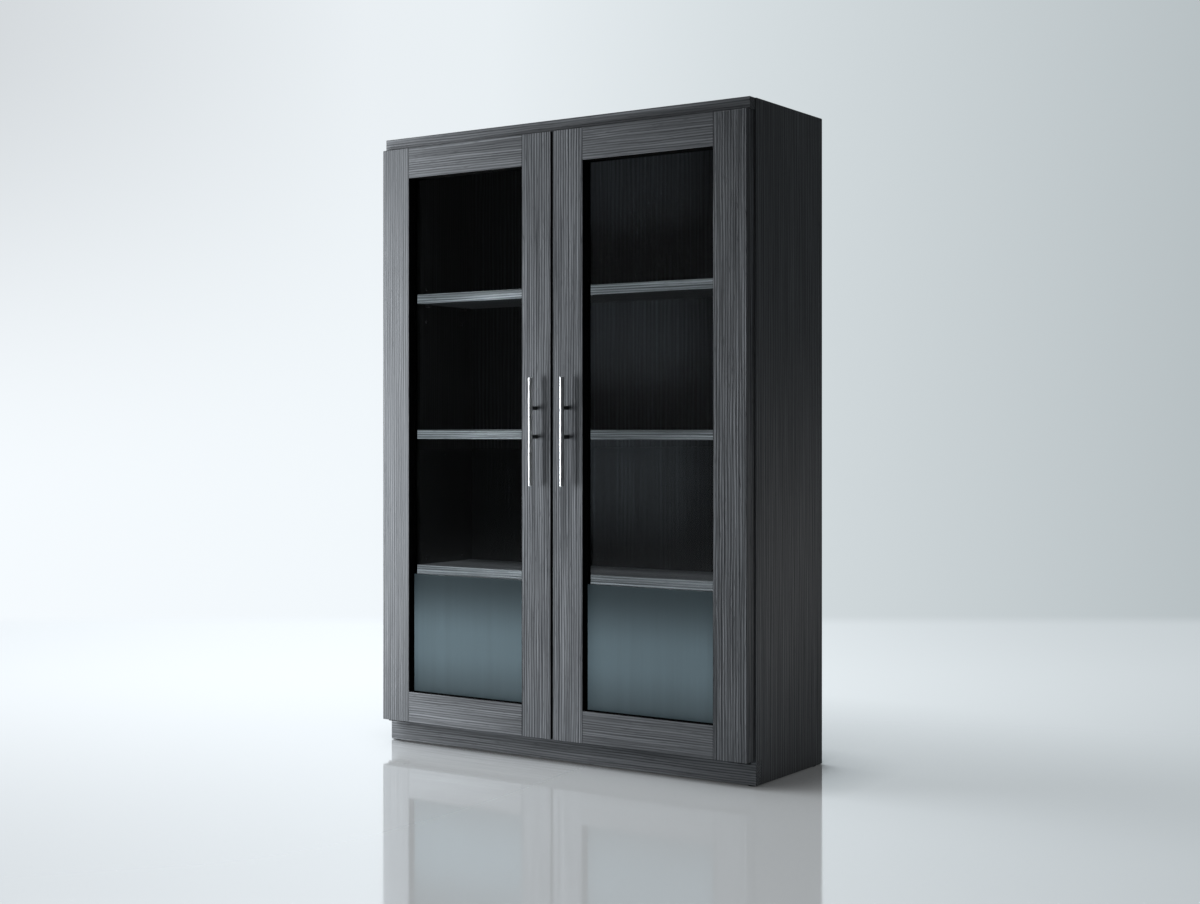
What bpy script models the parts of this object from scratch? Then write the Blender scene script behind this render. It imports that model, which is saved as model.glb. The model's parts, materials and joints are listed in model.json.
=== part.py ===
"""Two-door display cabinet with framed glass doors, in metres, +Z up, front towards -Y.

The origin is on the floor, under the middle of the cabinet's box with its handles.
"""
from math import cos, pi

import bmesh
import bpy
from mathutils import Matrix, Vector

# Carcass sizes
CABINET_WIDTH = 0.800
CABINET_HEIGHT = 1.150
CARCASS_DEPTH = 0.241
BOARD = 0.018
BOARD_EDGE_ROUND = 0.0006
PLINTH_HEIGHT = 0.042
REAR_RAIL_INSET = 0.030
FASCIA_HEIGHT = 0.020
FASCIA_DEPTH = 0.018
FASCIA_END_INSET = 0.002
BACK_PANEL_THICKNESS = 0.004
BACK_PANEL_INSET = 0.010
BACK_GROOVE_DEPTH = 0.007

# Shelves and their pins
LOWER_SHELF_TOP = 0.3335
SHELF_PITCH = 0.2625
SHELF_SETBACK = 0.054
SHELF_END_GAP = 0.0009
SHELF_REAR_GAP = 0.002
PIN_FROM_SHELF_EDGE = 0.030
PIN_HOLE_PITCH = 0.032
PIN_SPIGOT_RADIUS = 0.0025
PIN_SPIGOT_LENGTH = 0.009
PIN_SUPPORT_RADIUS = 0.004
PIN_SUPPORT_LENGTH = 0.010
PIN_FLAT_HEIGHT = 0.0015

# Dowels in the board ends
DOWEL_RADIUS = 0.004
DOWEL_REACH = 0.010
DOWEL_ROOT = 0.015
DOWEL_FROM_EDGE = 0.040
FASCIA_DOWEL_SPREAD = 0.300

# Floor glides
GLIDE_RADIUS = 0.008
GLIDE_HEIGHT = 0.0012
GLIDE_EDGE = 0.0005
GLIDE_NAIL_RADIUS = 0.0013
GLIDE_NAIL_LENGTH = 0.012
GLIDE_FROM_END = 0.012
GLIDE_FROM_REAR = 0.025

# Doors
DOOR_THICKNESS = 0.025
DOOR_STANDOFF = 0.003
DOOR_SIDE_INSET = 0.003
DOOR_MEETING_GAP = 0.005
DOOR_TOP_GAP = 0.0016
DOOR_BOTTOM_GAP = 0.0012
STILE_WIDTH = 0.064
RAIL_HEIGHT = 0.057
LIP_THICKNESS = 0.0155
REBATE_WIDTH = 0.008
SHOULDER_GAP = 0.0004
GLASS_THICKNESS = 0.004
GLASS_SIDE_GAP = 0.0008
GLASS_EDGE_ROUND = 0.0004
GASKET_SIGHT_LINE = 0.002
PANE_JOINT_BELOW_SHELF_TOP = 0.011

# Pivot hinges at the door's top and bottom ends
PIVOT_FROM_EDGE = 0.0065
PIVOT_FROM_BACK = 0.008
PIVOT_PIN_RADIUS = 0.003
PIVOT_PIN_REACH = 0.010
PIVOT_PIN_ROOT = 0.016
PIVOT_COLLAR_HEIGHT = 0.0008
BUSH_WALL = 0.0011
BUSH_FLANGE_WIDTH = 0.0015
PIVOT_PLATE_THICKNESS = 0.0025
PIVOT_ARM_LENGTH = 0.036
PIVOT_TAB_LENGTH = 0.040
PIVOT_TAB_SIDE_GAP = 0.001

# Handles
HANDLE_LENGTH = 0.194
HANDLE_CENTRE_HEIGHT = 0.5926
HANDLE_BAR_RADIUS = 0.004
HANDLE_BAR_ROUND = 0.0008
HANDLE_STANDOFF = 0.017
HANDLE_UPPER_POST_RISE = 0.042
HANDLE_POST_SPACING = 0.0513
HANDLE_POST_RADIUS = 0.0036
HANDLE_SPIGOT_RADIUS = 0.0018
HANDLE_SPIGOT_LENGTH = 0.0045
HANDLE_SCREW_RADIUS = 0.002
HANDLE_SCREW_GRIP = 0.008
SCREW_HEAD_RADIUS = 0.0042
SCREW_HEAD_HEIGHT = 0.0022
SCREW_SLOT_WIDTH = 0.001
SCREW_SLOT_DEPTH = 0.001

# Magnetic catch and its strike plates
CATCH_EAR = 0.0055
CATCH_RIM = 0.0025
CATCH_DEPTH = 0.016
CATCH_EDGE_ROUND = 0.001
MAGNET_WIDTH = 0.016
MAGNET_HEIGHT = 0.009
MAGNET_RECESS = 0.001
STRIKE_WIDTH = 0.018
STRIKE_HEIGHT = 0.013
STRIKE_EDGE_ROUND = 0.0003
STRIKE_FROM_TOP = 0.0025
STRIKE_HOLE_RADIUS = 0.0018
CATCH_AIR_GAP = 0.0005

# Clearances between pieces and the roundness of turned pieces
SEAT_GAP = 0.0003
RUNNING_GAP = 0.0003
OVERCUT = 0.002
ROUND_SIDES = 16
SMALL_ROUND_SIDES = 12
BAR_SIDES = 24

# Places across the width
SIDE_OUTER = CABINET_WIDTH / 2
SIDE_INNER = SIDE_OUTER - BOARD
DOOR_OUTER = SIDE_OUTER - DOOR_SIDE_INSET
DOOR_INNER = DOOR_MEETING_GAP / 2
PIVOT_X = DOOR_OUTER - PIVOT_FROM_EDGE
HANDLE_X = DOOR_INNER + STILE_WIDTH / 2
STRIKE_X = DOOR_INNER + STRIKE_WIDTH / 2
CATCH_END = STRIKE_X + MAGNET_WIDTH / 2 + CATCH_EAR

# Places along the depth: the box runs from the handle bars to the back of the carcass
TOTAL_DEPTH = CARCASS_DEPTH + DOOR_STANDOFF + DOOR_THICKNESS + HANDLE_STANDOFF + HANDLE_BAR_RADIUS
REAR_Y = TOTAL_DEPTH / 2
CARCASS_FRONT_Y = REAR_Y - CARCASS_DEPTH
DOOR_BACK_Y = CARCASS_FRONT_Y - DOOR_STANDOFF
DOOR_FRONT_Y = DOOR_BACK_Y - DOOR_THICKNESS
PIVOT_Y = DOOR_BACK_Y - PIVOT_FROM_BACK
HANDLE_Y = DOOR_FRONT_Y - HANDLE_STANDOFF
BACK_PANEL_REAR_Y = REAR_Y - BACK_PANEL_INSET
BACK_PANEL_FRONT_Y = BACK_PANEL_REAR_Y - BACK_PANEL_THICKNESS
SHELF_FRONT_Y = CARCASS_FRONT_Y + SHELF_SETBACK
SHELF_REAR_Y = BACK_PANEL_FRONT_Y - SHELF_REAR_GAP
LIP_BACK_Y = DOOR_FRONT_Y + LIP_THICKNESS
GLASS_FRONT_Y = LIP_BACK_Y + SEAT_GAP
GLASS_BACK_Y = GLASS_FRONT_Y + GLASS_THICKNESS
STRIKE_BACK_Y = CARCASS_FRONT_Y - CATCH_AIR_GAP

# Heights
FOOT_Z = GLIDE_HEIGHT + SEAT_GAP
BOTTOM_PANEL_TOP = PLINTH_HEIGHT + BOARD
TOP_PANEL_UNDERSIDE = CABINET_HEIGHT - BOARD
FASCIA_UNDERSIDE = CABINET_HEIGHT - FASCIA_HEIGHT
DOOR_BOTTOM = PLINTH_HEIGHT + DOOR_BOTTOM_GAP
DOOR_TOP = FASCIA_UNDERSIDE - DOOR_TOP_GAP
PIVOT_PLATE_TOP = PLINTH_HEIGHT - SEAT_GAP
PIVOT_PLATE_UNDERSIDE = PIVOT_PLATE_TOP - PIVOT_PLATE_THICKNESS
OPENING_BOTTOM = DOOR_BOTTOM + RAIL_HEIGHT
OPENING_TOP = DOOR_TOP - RAIL_HEIGHT
PANE_JOINT = LOWER_SHELF_TOP - PANE_JOINT_BELOW_SHELF_TOP
STRIKE_MIDDLE = DOOR_TOP - STRIKE_FROM_TOP - STRIKE_HEIGHT / 2
CATCH_UNDERSIDE = STRIKE_MIDDLE - MAGNET_HEIGHT / 2 - CATCH_RIM
CATCH_TOP = TOP_PANEL_UNDERSIDE - SEAT_GAP

SHELF_TOPS = {
    "lower_shelf": LOWER_SHELF_TOP,
    "middle_shelf": LOWER_SHELF_TOP + SHELF_PITCH,
    "upper_shelf": LOWER_SHELF_TOP + 2 * SHELF_PITCH,
}
LOOSE_SHELVES = ("lower_shelf", "upper_shelf")
FIXED_SHELF = "middle_shelf"

SIDES = {"left": -1, "right": 1}

# Colour, roughness and metallic value of each finish
FINISHES = {
    "charcoal_decor": ((0.115, 0.122, 0.128), 0.55, 0.0),
    "clear_glass": ((0.80, 0.84, 0.85), 0.03, 0.0),
    "frosted_glass": ((0.42, 0.48, 0.51), 0.45, 0.0),
    "polished_steel": ((0.86, 0.87, 0.88), 0.12, 1.0),
    "black_steel": ((0.03, 0.03, 0.03), 0.45, 0.6),
    "zinc_steel": ((0.62, 0.63, 0.64), 0.35, 1.0),
    "black_rubber": ((0.02, 0.02, 0.02), 0.80, 0.0),
    "black_nylon": ((0.03, 0.03, 0.035), 0.60, 0.0),
}


def clear_scene():
    """Remove every object that the scene starts with."""
    for item in list(bpy.data.objects):
        bpy.data.objects.remove(item, do_unlink=True)


def make_collection(name):
    """Return a new collection linked to the scene."""
    collection = bpy.data.collections.new(name)
    bpy.context.scene.collection.children.link(collection)
    return collection


def make_material(name):
    """Return the Principled material of one finish."""
    colour, roughness, metallic = FINISHES[name]
    material = bpy.data.materials.new(name)
    material.use_nodes = True
    shader = material.node_tree.nodes["Principled BSDF"]
    shader.inputs["Base Color"].default_value = (*colour, 1.0)
    shader.inputs["Roughness"].default_value = roughness
    shader.inputs["Metallic"].default_value = metallic
    if name == "clear_glass":
        shader.inputs["Transmission Weight"].default_value = 1.0
    return material


clear_scene()
PARTS = make_collection("display_cabinet")
CUTTERS = make_collection("cutters")
MATERIALS = {name: make_material(name) for name in FINISHES}


def add_box(shape, low, high):
    """Add a box between two corners to a bmesh."""
    low, high = Vector(low), Vector(high)
    matrix = Matrix.LocRotScale((low + high) / 2, None, high - low)
    bmesh.ops.create_cube(shape, size=1.0, matrix=matrix)


def add_rod(shape, start, end, radius, sides):
    """Add a closed round rod between the middles of its two ends to a bmesh."""
    start, end = Vector(start), Vector(end)
    along = end - start
    turn = along.to_track_quat("Z", "Y")
    matrix = Matrix.LocRotScale((start + end) / 2, turn, None)
    bmesh.ops.create_cone(shape, cap_ends=True, segments=sides, radius1=radius, radius2=radius,
                          depth=along.length, matrix=matrix)


def hole_radius(radius, gap, sides):
    """Return the radius of a many-sided hole whose flats clear a round piece by the gap."""
    return (radius + gap) / cos(pi / sides)


def to_object(shape, name, collection):
    """Turn a bmesh in world places into an object whose origin is the middle of its box."""
    corners = [vertex.co for vertex in shape.verts]
    low = Vector(min(corner[axis] for corner in corners) for axis in range(3))
    high = Vector(max(corner[axis] for corner in corners) for axis in range(3))
    middle = (low + high) / 2
    bmesh.ops.translate(shape, verts=shape.verts, vec=-middle)
    mesh = bpy.data.meshes.new(name)
    shape.to_mesh(mesh)
    shape.free()
    item = bpy.data.objects.new(name, mesh)
    item.location = middle
    collection.objects.link(item)
    return item


def finish_part(item, material, pivot=None):
    """Give a part its finish, smooth round faces and, on a door, its pivot as parent."""
    item.data.materials.append(MATERIALS[material])
    item.data.shade_smooth()
    item.data.set_sharp_from_angle(angle=pi / 5)
    if pivot is not None:
        item.parent = pivot
        item.location = item.location - pivot.location
    return item


def make_board(name, low, high, material, pivot=None, edge=BOARD_EDGE_ROUND):
    """Make a rectangular piece with lightly broken edges."""
    shape = bmesh.new()
    add_box(shape, low, high)
    item = finish_part(to_object(shape, name, PARTS), material, pivot)
    bevel = item.modifiers.new("broken_edges", "BEVEL")
    bevel.width = edge
    bevel.segments = 1
    bevel.limit_method = "ANGLE"
    return item


def combine(item, label, operation, fill):
    """Cut or join a hidden helper shape, which the fill function draws into a bmesh."""
    shape = bmesh.new()
    fill(shape)
    helper = to_object(shape, f"{item.name}_{label}", CUTTERS)
    helper.hide_render = True
    helper.display_type = "WIRE"
    modifier = item.modifiers.new(label, "BOOLEAN")
    modifier.operation = operation
    modifier.solver = "EXACT"
    modifier.object = helper


def cut(item, label, fill):
    """Take a shape out of a part."""
    combine(item, label, "DIFFERENCE", fill)


def join(item, label, fill):
    """Add a shape to a part, as one body."""
    combine(item, label, "UNION", fill)


def evenly(first, last, count):
    """Return a number of values from the first to the last, evenly apart."""
    step = (last - first) / (count - 1)
    return [first + step * index for index in range(count)]


def panel_dowels():
    """Return the depth of each dowel along the top and bottom panels' ends."""
    return evenly(CARCASS_FRONT_Y + DOWEL_FROM_EDGE, REAR_Y - DOWEL_FROM_EDGE, 3)


def shelf_supports():
    """Return the depth of the front and rear support of a shelf."""
    return (SHELF_FRONT_Y + PIN_FROM_SHELF_EDGE, SHELF_REAR_Y - PIN_FROM_SHELF_EDGE)


def rear_rail_front():
    """Return the depth of the rear plinth rail's front face."""
    return REAR_Y - REAR_RAIL_INSET - BOARD


def dowel_rows():
    """Return the depth and height of every dowel in a side panel."""
    rows = []
    for height in (TOP_PANEL_UNDERSIDE + BOARD / 2, PLINTH_HEIGHT + BOARD / 2):
        rows += [(depth, height) for depth in panel_dowels()]
    shelf_middle = SHELF_TOPS[FIXED_SHELF] - BOARD / 2
    rows += [(depth, shelf_middle) for depth in shelf_supports()]
    rows.append((rear_rail_front() + BOARD / 2, (FOOT_Z + PLINTH_HEIGHT) / 2))
    return rows


def pin_axis_height(shelf):
    """Return the height of the axis of the pins that carry a shelf."""
    return SHELF_TOPS[shelf] - BOARD - SEAT_GAP - PIN_FLAT_HEIGHT


def end_dowels(item, rows):
    """Join glued-in dowels to both ends of a board that lies between the side panels."""
    end = SIDE_INNER - SEAT_GAP

    def fill(shape):
        for side in SIDES.values():
            for depth, height in rows:
                add_rod(shape, (side * (end - DOWEL_ROOT), depth, height),
                        (side * (end + DOWEL_REACH), depth, height), DOWEL_RADIUS, SMALL_ROUND_SIDES)

    join(item, "dowels", fill)


def back_groove(item, low, high):
    """Cut the groove that holds the back panel, between two X and Z corners."""
    def fill(shape):
        add_box(shape, (low[0], BACK_PANEL_FRONT_Y - SEAT_GAP, low[1]),
                (high[0], BACK_PANEL_REAR_Y + SEAT_GAP, high[1]))

    cut(item, "back_groove", fill)


def glide_places():
    """Return the X and Y of the four floor glides, by name."""
    front_y = CARCASS_FRONT_Y + BOARD / 2
    rear_y = REAR_Y - GLIDE_FROM_REAR
    places = {}
    for side_name, side in SIDES.items():
        places[f"front_{side_name}_glide"] = (side * (SIDE_OUTER - GLIDE_FROM_END), front_y)
        places[f"rear_{side_name}_glide"] = (side * (SIDE_OUTER - BOARD / 2), rear_y)
    return places


def nail_holes(item, names):
    """Cut the holes for the nails of the named glides in the underside of a board."""
    radius = hole_radius(GLIDE_NAIL_RADIUS, SEAT_GAP, SMALL_ROUND_SIDES)

    def fill(shape):
        for name in names:
            x, y = glide_places()[name]
            add_rod(shape, (x, y, FOOT_Z - OVERCUT), (x, y, FOOT_Z + GLIDE_NAIL_LENGTH + SEAT_GAP),
                    radius, SMALL_ROUND_SIDES)

    cut(item, "nail_holes", fill)


def make_side_panel(side_name):
    """Make one full-height side panel with its plinth notch, groove and bores."""
    side = SIDES[side_name]
    inner, outer = sorted((side * SIDE_INNER, side * SIDE_OUTER))
    panel = make_board(f"{side_name}_side_panel", (inner, CARCASS_FRONT_Y, FOOT_Z),
                       (outer, REAR_Y, CABINET_HEIGHT), "charcoal_decor")

    def plinth_notch(shape):
        low, high = inner - OVERCUT, outer + OVERCUT
        add_box(shape, (low, CARCASS_FRONT_Y - OVERCUT, FOOT_Z - OVERCUT),
                (high, CARCASS_FRONT_Y + BOARD + SEAT_GAP, PLINTH_HEIGHT))

    def bores(shape):
        face = side * (SIDE_INNER - OVERCUT)
        dowel_end = side * (SIDE_INNER + DOWEL_REACH)
        dowel_bore = hole_radius(DOWEL_RADIUS, SEAT_GAP, SMALL_ROUND_SIDES)
        for depth, height in dowel_rows():
            add_rod(shape, (face, depth, height), (dowel_end, depth, height), dowel_bore, SMALL_ROUND_SIDES)
        pin_end = side * (SIDE_INNER + PIN_SPIGOT_LENGTH + SEAT_GAP)
        pin_bore = hole_radius(PIN_SPIGOT_RADIUS, SEAT_GAP, SMALL_ROUND_SIDES)
        for shelf in LOOSE_SHELVES:
            for depth in shelf_supports():
                for step in (-1, 0, 1):
                    height = pin_axis_height(shelf) + step * PIN_HOLE_PITCH
                    add_rod(shape, (face, depth, height), (pin_end, depth, height),
                            pin_bore, SMALL_ROUND_SIDES)

    cut(panel, "plinth_notch", plinth_notch)
    groove = sorted((side * (SIDE_INNER - OVERCUT), side * (SIDE_INNER + BACK_GROOVE_DEPTH)))
    back_groove(panel, (groove[0], BOTTOM_PANEL_TOP - BACK_GROOVE_DEPTH),
                (groove[1], TOP_PANEL_UNDERSIDE + BACK_GROOVE_DEPTH))
    cut(panel, "bores", bores)
    nail_holes(panel, [f"rear_{side_name}_glide"])
    return panel


def make_top_panel():
    """Make the top panel between the sides, bored at the front for the fascia's dowels."""
    end = SIDE_INNER - SEAT_GAP
    panel = make_board("top_panel", (-end, CARCASS_FRONT_Y, TOP_PANEL_UNDERSIDE),
                       (end, REAR_Y, CABINET_HEIGHT), "charcoal_decor")
    back_groove(panel, (-end - OVERCUT, TOP_PANEL_UNDERSIDE - OVERCUT),
                (end + OVERCUT, TOP_PANEL_UNDERSIDE + BACK_GROOVE_DEPTH))

    def fascia_bores(shape):
        radius = hole_radius(DOWEL_RADIUS, SEAT_GAP, SMALL_ROUND_SIDES)
        for x in (-FASCIA_DOWEL_SPREAD, 0, FASCIA_DOWEL_SPREAD):
            height = TOP_PANEL_UNDERSIDE + BOARD / 2
            add_rod(shape, (x, CARCASS_FRONT_Y - OVERCUT, height),
                    (x, CARCASS_FRONT_Y + DOWEL_REACH + SEAT_GAP, height), radius, SMALL_ROUND_SIDES)

    cut(panel, "fascia_bores", fascia_bores)
    end_dowels(panel, [(depth, TOP_PANEL_UNDERSIDE + BOARD / 2) for depth in panel_dowels()])
    return panel


def bush_outer_radius():
    """Return the outer radius of a pivot bush's sleeve."""
    return hole_radius(PIVOT_PIN_RADIUS, RUNNING_GAP, ROUND_SIDES) + BUSH_WALL


def make_top_fascia():
    """Make the strip over the doors, with dowels behind and bores below for the pivot bushes."""
    end = SIDE_OUTER - FASCIA_END_INSET
    rear = CARCASS_FRONT_Y - SEAT_GAP
    fascia = make_board("top_fascia", (-end, CARCASS_FRONT_Y - FASCIA_DEPTH, FASCIA_UNDERSIDE),
                        (end, rear, CABINET_HEIGHT), "charcoal_decor")

    def dowels(shape):
        height = TOP_PANEL_UNDERSIDE + BOARD / 2
        for x in (-FASCIA_DOWEL_SPREAD, 0, FASCIA_DOWEL_SPREAD):
            add_rod(shape, (x, rear - FASCIA_DEPTH / 2, height), (x, CARCASS_FRONT_Y + DOWEL_REACH, height),
                    DOWEL_RADIUS, SMALL_ROUND_SIDES)

    def bush_bores(shape):
        radius = hole_radius(bush_outer_radius(), SEAT_GAP, ROUND_SIDES)
        for side in SIDES.values():
            add_rod(shape, (side * PIVOT_X, PIVOT_Y, FASCIA_UNDERSIDE - OVERCUT),
                    (side * PIVOT_X, PIVOT_Y, FASCIA_UNDERSIDE + PIVOT_PIN_REACH + 2 * SEAT_GAP),
                    radius, ROUND_SIDES)

    join(fascia, "dowels", dowels)
    cut(fascia, "bush_bores", bush_bores)
    return fascia


def make_bottom_panel():
    """Make the bottom panel between the sides, standing on the plinth."""
    end = SIDE_INNER - SEAT_GAP
    panel = make_board("bottom_panel", (-end, CARCASS_FRONT_Y, PLINTH_HEIGHT),
                       (end, REAR_Y, BOTTOM_PANEL_TOP), "charcoal_decor")
    back_groove(panel, (-end - OVERCUT, BOTTOM_PANEL_TOP - BACK_GROOVE_DEPTH),
                (end + OVERCUT, BOTTOM_PANEL_TOP + OVERCUT))
    end_dowels(panel, [(depth, PLINTH_HEIGHT + BOARD / 2) for depth in panel_dowels()])
    return panel


def pivot_tab_span():
    """Return the inner and outer X of a lower pivot bracket's tab, on the right."""
    outer = SIDE_INNER - PIVOT_TAB_SIDE_GAP
    return PIVOT_X - PIVOT_ARM_LENGTH, outer


def make_plinth():
    """Make the full-width plinth board and the rail behind it."""
    plinth = make_board("plinth_board", (-SIDE_OUTER, CARCASS_FRONT_Y, FOOT_Z),
                        (SIDE_OUTER, CARCASS_FRONT_Y + BOARD, PLINTH_HEIGHT - SEAT_GAP), "charcoal_decor")

    def bracket_notches(shape):
        inner, outer = pivot_tab_span()
        for side in SIDES.values():
            low, high = sorted((side * (inner - SEAT_GAP), side * (outer + SEAT_GAP)))
            add_box(shape, (low, CARCASS_FRONT_Y - OVERCUT, PIVOT_PLATE_UNDERSIDE - SEAT_GAP),
                    (high, CARCASS_FRONT_Y + BOARD + OVERCUT, PLINTH_HEIGHT + OVERCUT))

    cut(plinth, "bracket_notches", bracket_notches)
    nail_holes(plinth, ["front_left_glide", "front_right_glide"])
    end = SIDE_INNER - SEAT_GAP
    front = rear_rail_front()
    rail = make_board("rear_plinth_rail", (-end, front, FOOT_Z),
                      (end, front + BOARD, PLINTH_HEIGHT - SEAT_GAP), "charcoal_decor")
    end_dowels(rail, [(front + BOARD / 2, (FOOT_Z + PLINTH_HEIGHT) / 2)])


def make_back_panel():
    """Make the thin back panel that sits in the grooves of four boards."""
    end = SIDE_INNER + BACK_GROOVE_DEPTH - SEAT_GAP
    edge = BACK_GROOVE_DEPTH - SEAT_GAP
    make_board("back_panel", (-end, BACK_PANEL_FRONT_Y, BOTTOM_PANEL_TOP - edge),
               (end, BACK_PANEL_REAR_Y, TOP_PANEL_UNDERSIDE + edge), "charcoal_decor")


def make_shelves():
    """Make the three shelves: two loose ones on pins and a fixed one on dowels."""
    for name, top in SHELF_TOPS.items():
        fixed = name == FIXED_SHELF
        end = SIDE_INNER - (SEAT_GAP if fixed else SHELF_END_GAP)
        shelf = make_board(name, (-end, SHELF_FRONT_Y, top - BOARD), (end, SHELF_REAR_Y, top),
                           "charcoal_decor")
        if fixed:
            end_dowels(shelf, [(depth, top - BOARD / 2) for depth in shelf_supports()])


def make_shelf_pin(name, side, depth, height):
    """Make one shelf pin: a round spigot in the side panel and a flat-topped support."""
    shape = bmesh.new()
    face = side * (SIDE_INNER - SEAT_GAP)
    tip = side * (SIDE_INNER - PIN_SUPPORT_LENGTH)
    add_rod(shape, (face, depth, height), (tip, depth, height), PIN_SUPPORT_RADIUS, SMALL_ROUND_SIDES)
    pin = finish_part(to_object(shape, name, PARTS), "zinc_steel")

    def spigot(shape):
        root = side * (SIDE_INNER - PIN_SUPPORT_LENGTH / 2)
        end = side * (SIDE_INNER + PIN_SPIGOT_LENGTH)
        add_rod(shape, (root, depth, height), (end, depth, height), PIN_SPIGOT_RADIUS, SMALL_ROUND_SIDES)

    def flat_top(shape):
        low, high = sorted((side * SIDE_INNER, side * (SIDE_INNER - PIN_SUPPORT_LENGTH - OVERCUT)))
        add_box(shape, (low, depth - PIN_SUPPORT_RADIUS - OVERCUT, height + PIN_FLAT_HEIGHT),
                (high, depth + PIN_SUPPORT_RADIUS + OVERCUT, height + PIN_SUPPORT_RADIUS + OVERCUT))

    join(pin, "spigot", spigot)
    cut(pin, "flat_top", flat_top)


def make_shelf_pins():
    """Make the four pins of each loose shelf."""
    for shelf in LOOSE_SHELVES:
        for side_name, side in SIDES.items():
            for place, depth in zip(("front", "rear"), shelf_supports()):
                make_shelf_pin(f"{shelf}_{place}_{side_name}_pin", side, depth, pin_axis_height(shelf))


def make_glides():
    """Make the floor glides, each a turned foot with its nail."""
    profile = [
        (0, GLIDE_HEIGHT + GLIDE_NAIL_LENGTH),
        (GLIDE_NAIL_RADIUS, GLIDE_HEIGHT + GLIDE_NAIL_LENGTH - GLIDE_NAIL_RADIUS),
        (GLIDE_NAIL_RADIUS, GLIDE_HEIGHT),
        (GLIDE_RADIUS, GLIDE_HEIGHT),
        (GLIDE_RADIUS, GLIDE_EDGE),
        (GLIDE_RADIUS - GLIDE_EDGE, 0),
        (0, 0),
    ]
    for name, (x, y) in glide_places().items():
        mesh = bpy.data.meshes.new(name)
        points = [(radius, 0, height) for radius, height in profile]
        mesh.from_pydata(points, [(index, index + 1) for index in range(len(points) - 1)], [])
        glide = bpy.data.objects.new(name, mesh)
        glide.location = (x, y, 0)
        PARTS.objects.link(glide)
        glide.data.materials.append(MATERIALS["black_nylon"])
        turn = glide.modifiers.new("turned", "SCREW")
        turn.steps = SMALL_ROUND_SIDES
        turn.render_steps = SMALL_ROUND_SIDES
        turn.use_merge_vertices = True
        turn.merge_threshold = 0.00005


def make_lower_bracket(side_name):
    """Make the cranked plate under the bottom panel, with the upright pin of the lower pivot."""
    side = SIDES[side_name]
    inner, outer = pivot_tab_span()
    low, high = sorted((side * inner, side * outer))
    arm_front = PIVOT_Y - PIVOT_PIN_RADIUS - BUSH_WALL - BUSH_FLANGE_WIDTH
    plate = make_board(f"{side_name}_lower_pivot_bracket", (low, arm_front, PIVOT_PLATE_UNDERSIDE),
                       (high, CARCASS_FRONT_Y + PIVOT_TAB_LENGTH, PIVOT_PLATE_TOP), "black_steel",
                       edge=PIVOT_PLATE_THICKNESS / 10)

    def arm(shape):
        middle = side * (inner + PIVOT_X) / 2
        tip = side * PIVOT_X
        arm_low, arm_high = sorted((middle, tip))
        add_box(shape, (arm_low, arm_front, PIVOT_PLATE_UNDERSIDE),
                (arm_high, CARCASS_FRONT_Y - SEAT_GAP, PIVOT_PLATE_TOP))

    def rounded_tip(shape):
        radius = PIVOT_Y - arm_front
        add_rod(shape, (side * PIVOT_X, PIVOT_Y, PIVOT_PLATE_UNDERSIDE),
                (side * PIVOT_X, PIVOT_Y, PIVOT_PLATE_TOP), radius, ROUND_SIDES)

    def upright_pin(shape):
        add_rod(shape, (side * PIVOT_X, PIVOT_Y, PIVOT_PLATE_UNDERSIDE + PIVOT_PLATE_THICKNESS / 2),
                (side * PIVOT_X, PIVOT_Y, PIVOT_PLATE_TOP + PIVOT_PIN_REACH), PIVOT_PIN_RADIUS, ROUND_SIDES)

    join(plate, "arm", arm)
    join(plate, "rounded_tip", rounded_tip)
    join(plate, "upright_pin", upright_pin)


def make_bush(name, side, bottom, top, pivot=None):
    """Make a pivot bush: a sleeve between two heights, standing on the pivot axis."""
    shape = bmesh.new()
    add_rod(shape, (side * PIVOT_X, PIVOT_Y, bottom), (side * PIVOT_X, PIVOT_Y, top),
            bush_outer_radius(), ROUND_SIDES)
    bush = finish_part(to_object(shape, name, PARTS), "black_nylon", pivot)

    def bore(shape):
        add_rod(shape, (side * PIVOT_X, PIVOT_Y, bottom - OVERCUT),
                (side * PIVOT_X, PIVOT_Y, top + OVERCUT),
                hole_radius(PIVOT_PIN_RADIUS, RUNNING_GAP, ROUND_SIDES), ROUND_SIDES)

    return bush, bore


def make_upper_bush(side_name):
    """Make the bush in the fascia that the door's upper pin turns in."""
    bush, bore = make_bush(f"{side_name}_upper_pivot_bush", SIDES[side_name], FASCIA_UNDERSIDE,
                           FASCIA_UNDERSIDE + PIVOT_PIN_REACH + SEAT_GAP)
    cut(bush, "bore", bore)


def make_catch():
    """Make the double magnetic catch under the top panel."""
    catch = make_board("magnetic_catch", (-CATCH_END, CARCASS_FRONT_Y, CATCH_UNDERSIDE),
                       (CATCH_END, CARCASS_FRONT_Y + CATCH_DEPTH, CATCH_TOP),
                       "black_nylon", edge=CATCH_EDGE_ROUND)

    def magnet_recesses(shape):
        for side in SIDES.values():
            x = side * STRIKE_X
            add_box(shape, (x - MAGNET_WIDTH / 2, CARCASS_FRONT_Y - OVERCUT,
                            STRIKE_MIDDLE - MAGNET_HEIGHT / 2),
                    (x + MAGNET_WIDTH / 2, CARCASS_FRONT_Y + MAGNET_RECESS,
                     STRIKE_MIDDLE + MAGNET_HEIGHT / 2))

    cut(catch, "magnet_recesses", magnet_recesses)


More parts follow.
